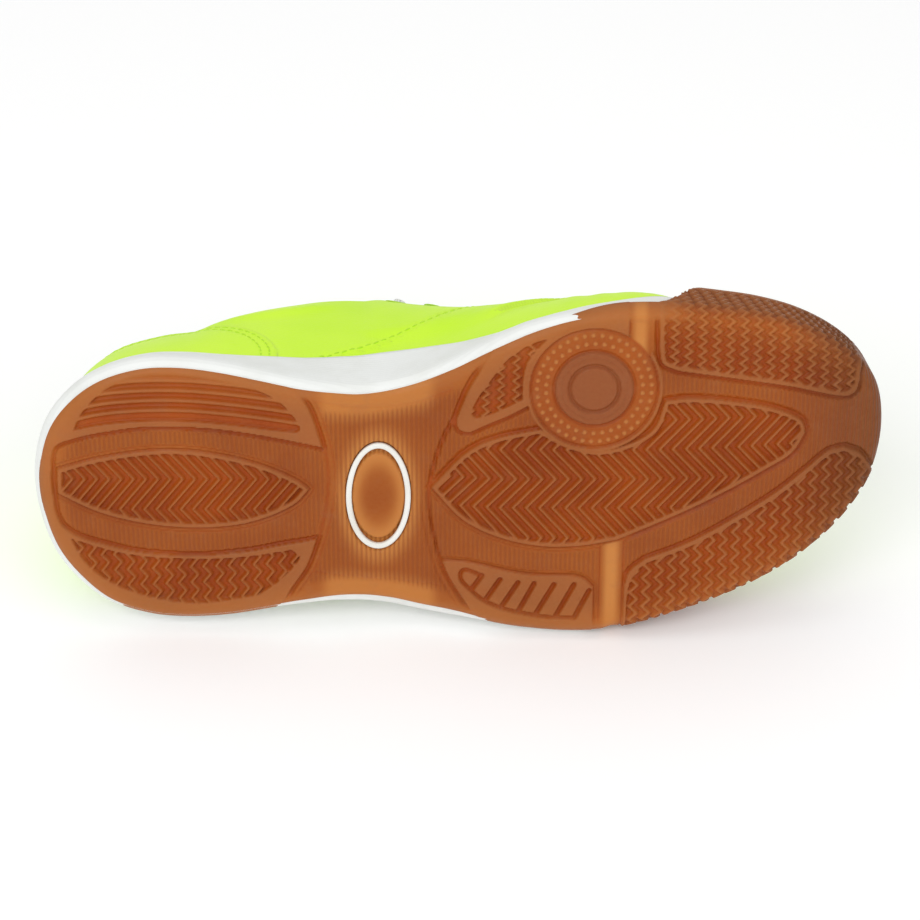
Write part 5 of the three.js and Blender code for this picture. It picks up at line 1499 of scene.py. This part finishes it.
tongue = build_tongue()
tongue.data.materials.append(fabric_material("tongue_fabric", "C6F23A", "9CC81C", 1.5, 0.8))
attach(tongue, "root")
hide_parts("tongue")


# Flat laces: straight bars that dip into their eyelets at both ends
def swept_band(name, centre, normal, widths, thickness):
    """A flat band with rounded edges along a line."""
    way = unit(np.gradient(centre, axis=0))
    across = unit(np.cross(normal, way))
    up = np.cross(way, across)
    ring = []
    for k in range(16):
        a = 2 * math.pi * k / 16
        c, s = math.cos(a), math.sin(a)
        wide = math.copysign(abs(c) ** 0.55, c) * widths / 2
        tall = math.copysign(abs(s) ** 0.75, s) * thickness / 2
        ring.append(centre + across * wide[:, None] + up * tall)
    grid = np.stack(ring, 1)
    rows = len(centre)
    points = np.concatenate([grid.reshape(-1, 3), centre[:1], centre[-1:]])
    faces = list(grid_faces(rows, 16, wrap=True)[:, ::-1])
    for k in range(0, 16, 2):
        faces.append([k, (k + 1) % 16, (k + 2) % 16, 16 * rows])
        last = 16 * (rows - 1)
        faces.append([last + (k + 2) % 16, last + (k + 1) % 16, last + k, 16 * rows + 1])
    return make_mesh(name, points, np.array(faces))


def lace_material():
    n = Nodes("lace_white")
    shoe = n.attribute("shoe", "Vector")
    x, y, z = n.axes(shoe)
    weave = n.math("MAXIMUM", n.wave(n.math("ADD", x, y), 0.9), n.wave(n.math("SUBTRACT", x, y), 0.9))
    color = n.mix(n.remap(weave, -0.6, 1.0), srgb("C4C7C0"), srgb("ECEEE8"))
    return n.finish(color, 0.85, n.bump(weave, 0.5, 0.0002), Sheen_Weight=0.15)


LACE_CLEAR = 0.28
LACE_SAG = 0.6
lace_look = lace_material()
for row, (at, centre_y, half) in enumerate(eyelet_places()):
    t = np.sin(np.linspace(-1, 1, 61) * math.pi / 2)
    reach = np.abs(t)
    # Over the eyestay, down into the eyelet at the ends and a little low over the tongue
    lift = mix(EYESTAY_STEP + LACE_THICKNESS / 2 + LACE_CLEAR, 0.0, smooth(0.89, 1.0, reach))
    lift = lift - LACE_SAG * (1 - smooth(0.0, 0.75, reach))
    line, up = over_form(np.full(len(t), at), centre_y + t * half, lift)
    widths = mix(LACE_WIDTH, 2.9, smooth(0.74, 0.93, reach))
    bar = swept_band(f"lace_band_{row + 1}", line, up, widths, LACE_THICKNESS)
    bar.data.materials.append(lace_look)
    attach(bar, "root")
    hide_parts(f"lace_bar_{row + 1}")


# Stitches along the seams of quarter and counter, as short raised threads on the outer surface
STITCH_PITCH = 2.6
STITCH_LENGTH = 1.75
STITCH_RADIUS = 0.24


def shifted(line, distance):
    way = unit(np.gradient(line, axis=0))
    return line + np.stack([-way[:, 1], way[:, 0]], 1) * distance


def stitch_places():
    outer = OUTER.reshape(-1, 3)
    normals = OUTER_NORMAL.reshape(-1, 3)
    side_of = np.tile(UPPER_STATIONS[2], OUTER.shape[0])
    used = np.repeat(np.arange(OUTER.shape[0]), OUTER.shape[1]) < OUTER.shape[0] - 1
    places = []
    seams = [shifted(QUARTER_FRONT, SEAM_INSET), shifted(COUNTER_TOP, SEAM_INSET),
             shifted(COUNTER_TOP, SECOND_SEAM_INSET)]
    for medial in (True, False):
        pick = (side_of == medial) & used
        mine, turned = outer[pick], normals[pick]
        for seam in seams:
            length = np.linalg.norm(np.diff(seam, axis=0), axis=1).sum()
            marks = resample(seam, int(length / STITCH_PITCH))
            side = np.full(len(marks), -1.0 if medial else 1.0)
            low = feather_height(np.clip(marks[:, 0] / SOLE_LENGTH, 0, 1), side) + 1.5
            for here, after, ground in zip(marks[:-1], marks[1:], low):
                if here[1] < ground or here[0] < 3:
                    continue
                ends = []
                for t in (0.0, STITCH_LENGTH / STITCH_PITCH):
                    spot = mix(here, after, t)
                    gap = (mine[:, 0] - spot[0]) ** 2 + (mine[:, 2] - spot[1]) ** 2
                    near = np.argpartition(gap, 6)[:6]
                    weight = 1 / (gap[near] + 0.02)
                    weight /= weight.sum()
                    if gap[near].min() > 6:
                        break
                    normal = unit((turned[near] * weight[:, None]).sum(0))
                    ends.append(((mine[near] * weight[:, None]).sum(0) + normal * 0.08, normal))
                if len(ends) == 2 and np.linalg.norm(ends[1][0] - ends[0][0]) < 4:
                    places.append(ends)
    return places


def build_stitches():
    points, faces = [], []
    for (a, na), (b, _) in stitch_places():
        way = unit(b - a)
        across = unit(np.cross(na, way))
        up = np.cross(way, across)
        base = sum(len(p) for p in points)
        rings = []
        for t, size in ((-0.02, 0.15), (0.08, 0.75), (0.5, 1.0), (0.92, 0.75), (1.02, 0.15)):
            rise = 0.10 * (1 - (2 * t - 1) ** 2)
            middle = mix(a, b, t) + up * (rise - 0.05)
            for turn in np.arange(6) * math.pi / 3:
                rings.append(middle + (across * math.cos(turn) + up * math.sin(turn)) * STITCH_RADIUS * size)
        points.append(np.array(rings))
        faces.append(grid_faces(5, 6, wrap=True, base=base)[:, ::-1])
    return make_mesh("seam_stitches", np.concatenate(points), np.concatenate(faces))


stitches = build_stitches()
stitches.data.materials.append(plain_material("thread_yellow", "BCE636", 0.7, 2.0, 0.00005))
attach(stitches, "root")


# Turned rims of the punched eyelets
def build_eyelets():
    turns = 32
    low = -EYESTAY_STEP - UPPER_WALL
    profile = [(2.10, 0.00), (2.35, 0.16), (2.75, 0.20), (3.35, 0.08), (3.50, -0.15), (2.80, -0.25), (2.45, -0.45),
               (2.45, low + 0.4), (3.40, low + 0.1), (3.40, low - 0.12), (2.40, low - 0.15), (2.10, low)]
    points, faces = [], []
    a = np.linspace(0, 2 * math.pi, turns, endpoint=False)[:, None]
    for place, normal in eyelet_spots(EYESTAY_STEP):
        way = unit(np.cross([0, 1, 0], normal))
        across = np.cross(normal, way)
        base = sum(len(p) for p in points)
        for radius, rise in profile:
            points.append(place + (np.cos(a) * way + np.sin(a) * across) * radius + normal * rise)
        faces.append(grid_faces(len(profile) + 1, turns, wrap=True) % (len(profile) * turns) + base)
    return make_mesh("eyelet_rims", np.concatenate(points), np.concatenate(faces)[:, ::-1])


eyelets = build_eyelets()
eyelets.data.materials.append(plain_material("eyelet_rim", "AED82C", 0.5, 1.5, 0.00006))
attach(eyelets, "root")

# Floor and light
bpy.ops.mesh.primitive_plane_add(size=12)
floor = bpy.context.object
floor.name = "floor"
floor.data.materials.append(Nodes("floor_pale").finish(
    srgb("FFFFFF"), 0.9, Specular_IOR_Level=0.1, Emission_Color=(1, 1, 1, 1), Emission_Strength=0.07))

scene = bpy.context.scene
scene.view_settings.view_transform = "Standard"
sky = bpy.data.worlds.new("studio")
sky.use_nodes = True
background = sky.node_tree.nodes["Background"]
background.inputs[0].default_value = (1, 1, 1, 1)
background.inputs[1].default_value = 0.60
scene.world = sky


def soft_light(name, place, size, power):
    data = bpy.data.lights.new(name, "AREA")
    data.size = size
    data.energy = power
    obj = bpy.data.objects.new(name, data)
    scene.collection.objects.link(obj)
    obj.location = place
    obj.rotation_euler = (Vector(LIT_PLACE) - Vector(place)).to_track_quat("-Z", "Y").to_euler()


LIT_PLACE = (0, 0, 0.04)
soft_light("key", (-0.5, -1.0, 1.1), 0.8, 7)
soft_light("fill", (0.9, -0.7, 0.8), 1.0, 2.5)
soft_light("top", (0.0, 0.3, 1.4), 1.2, 3.5)
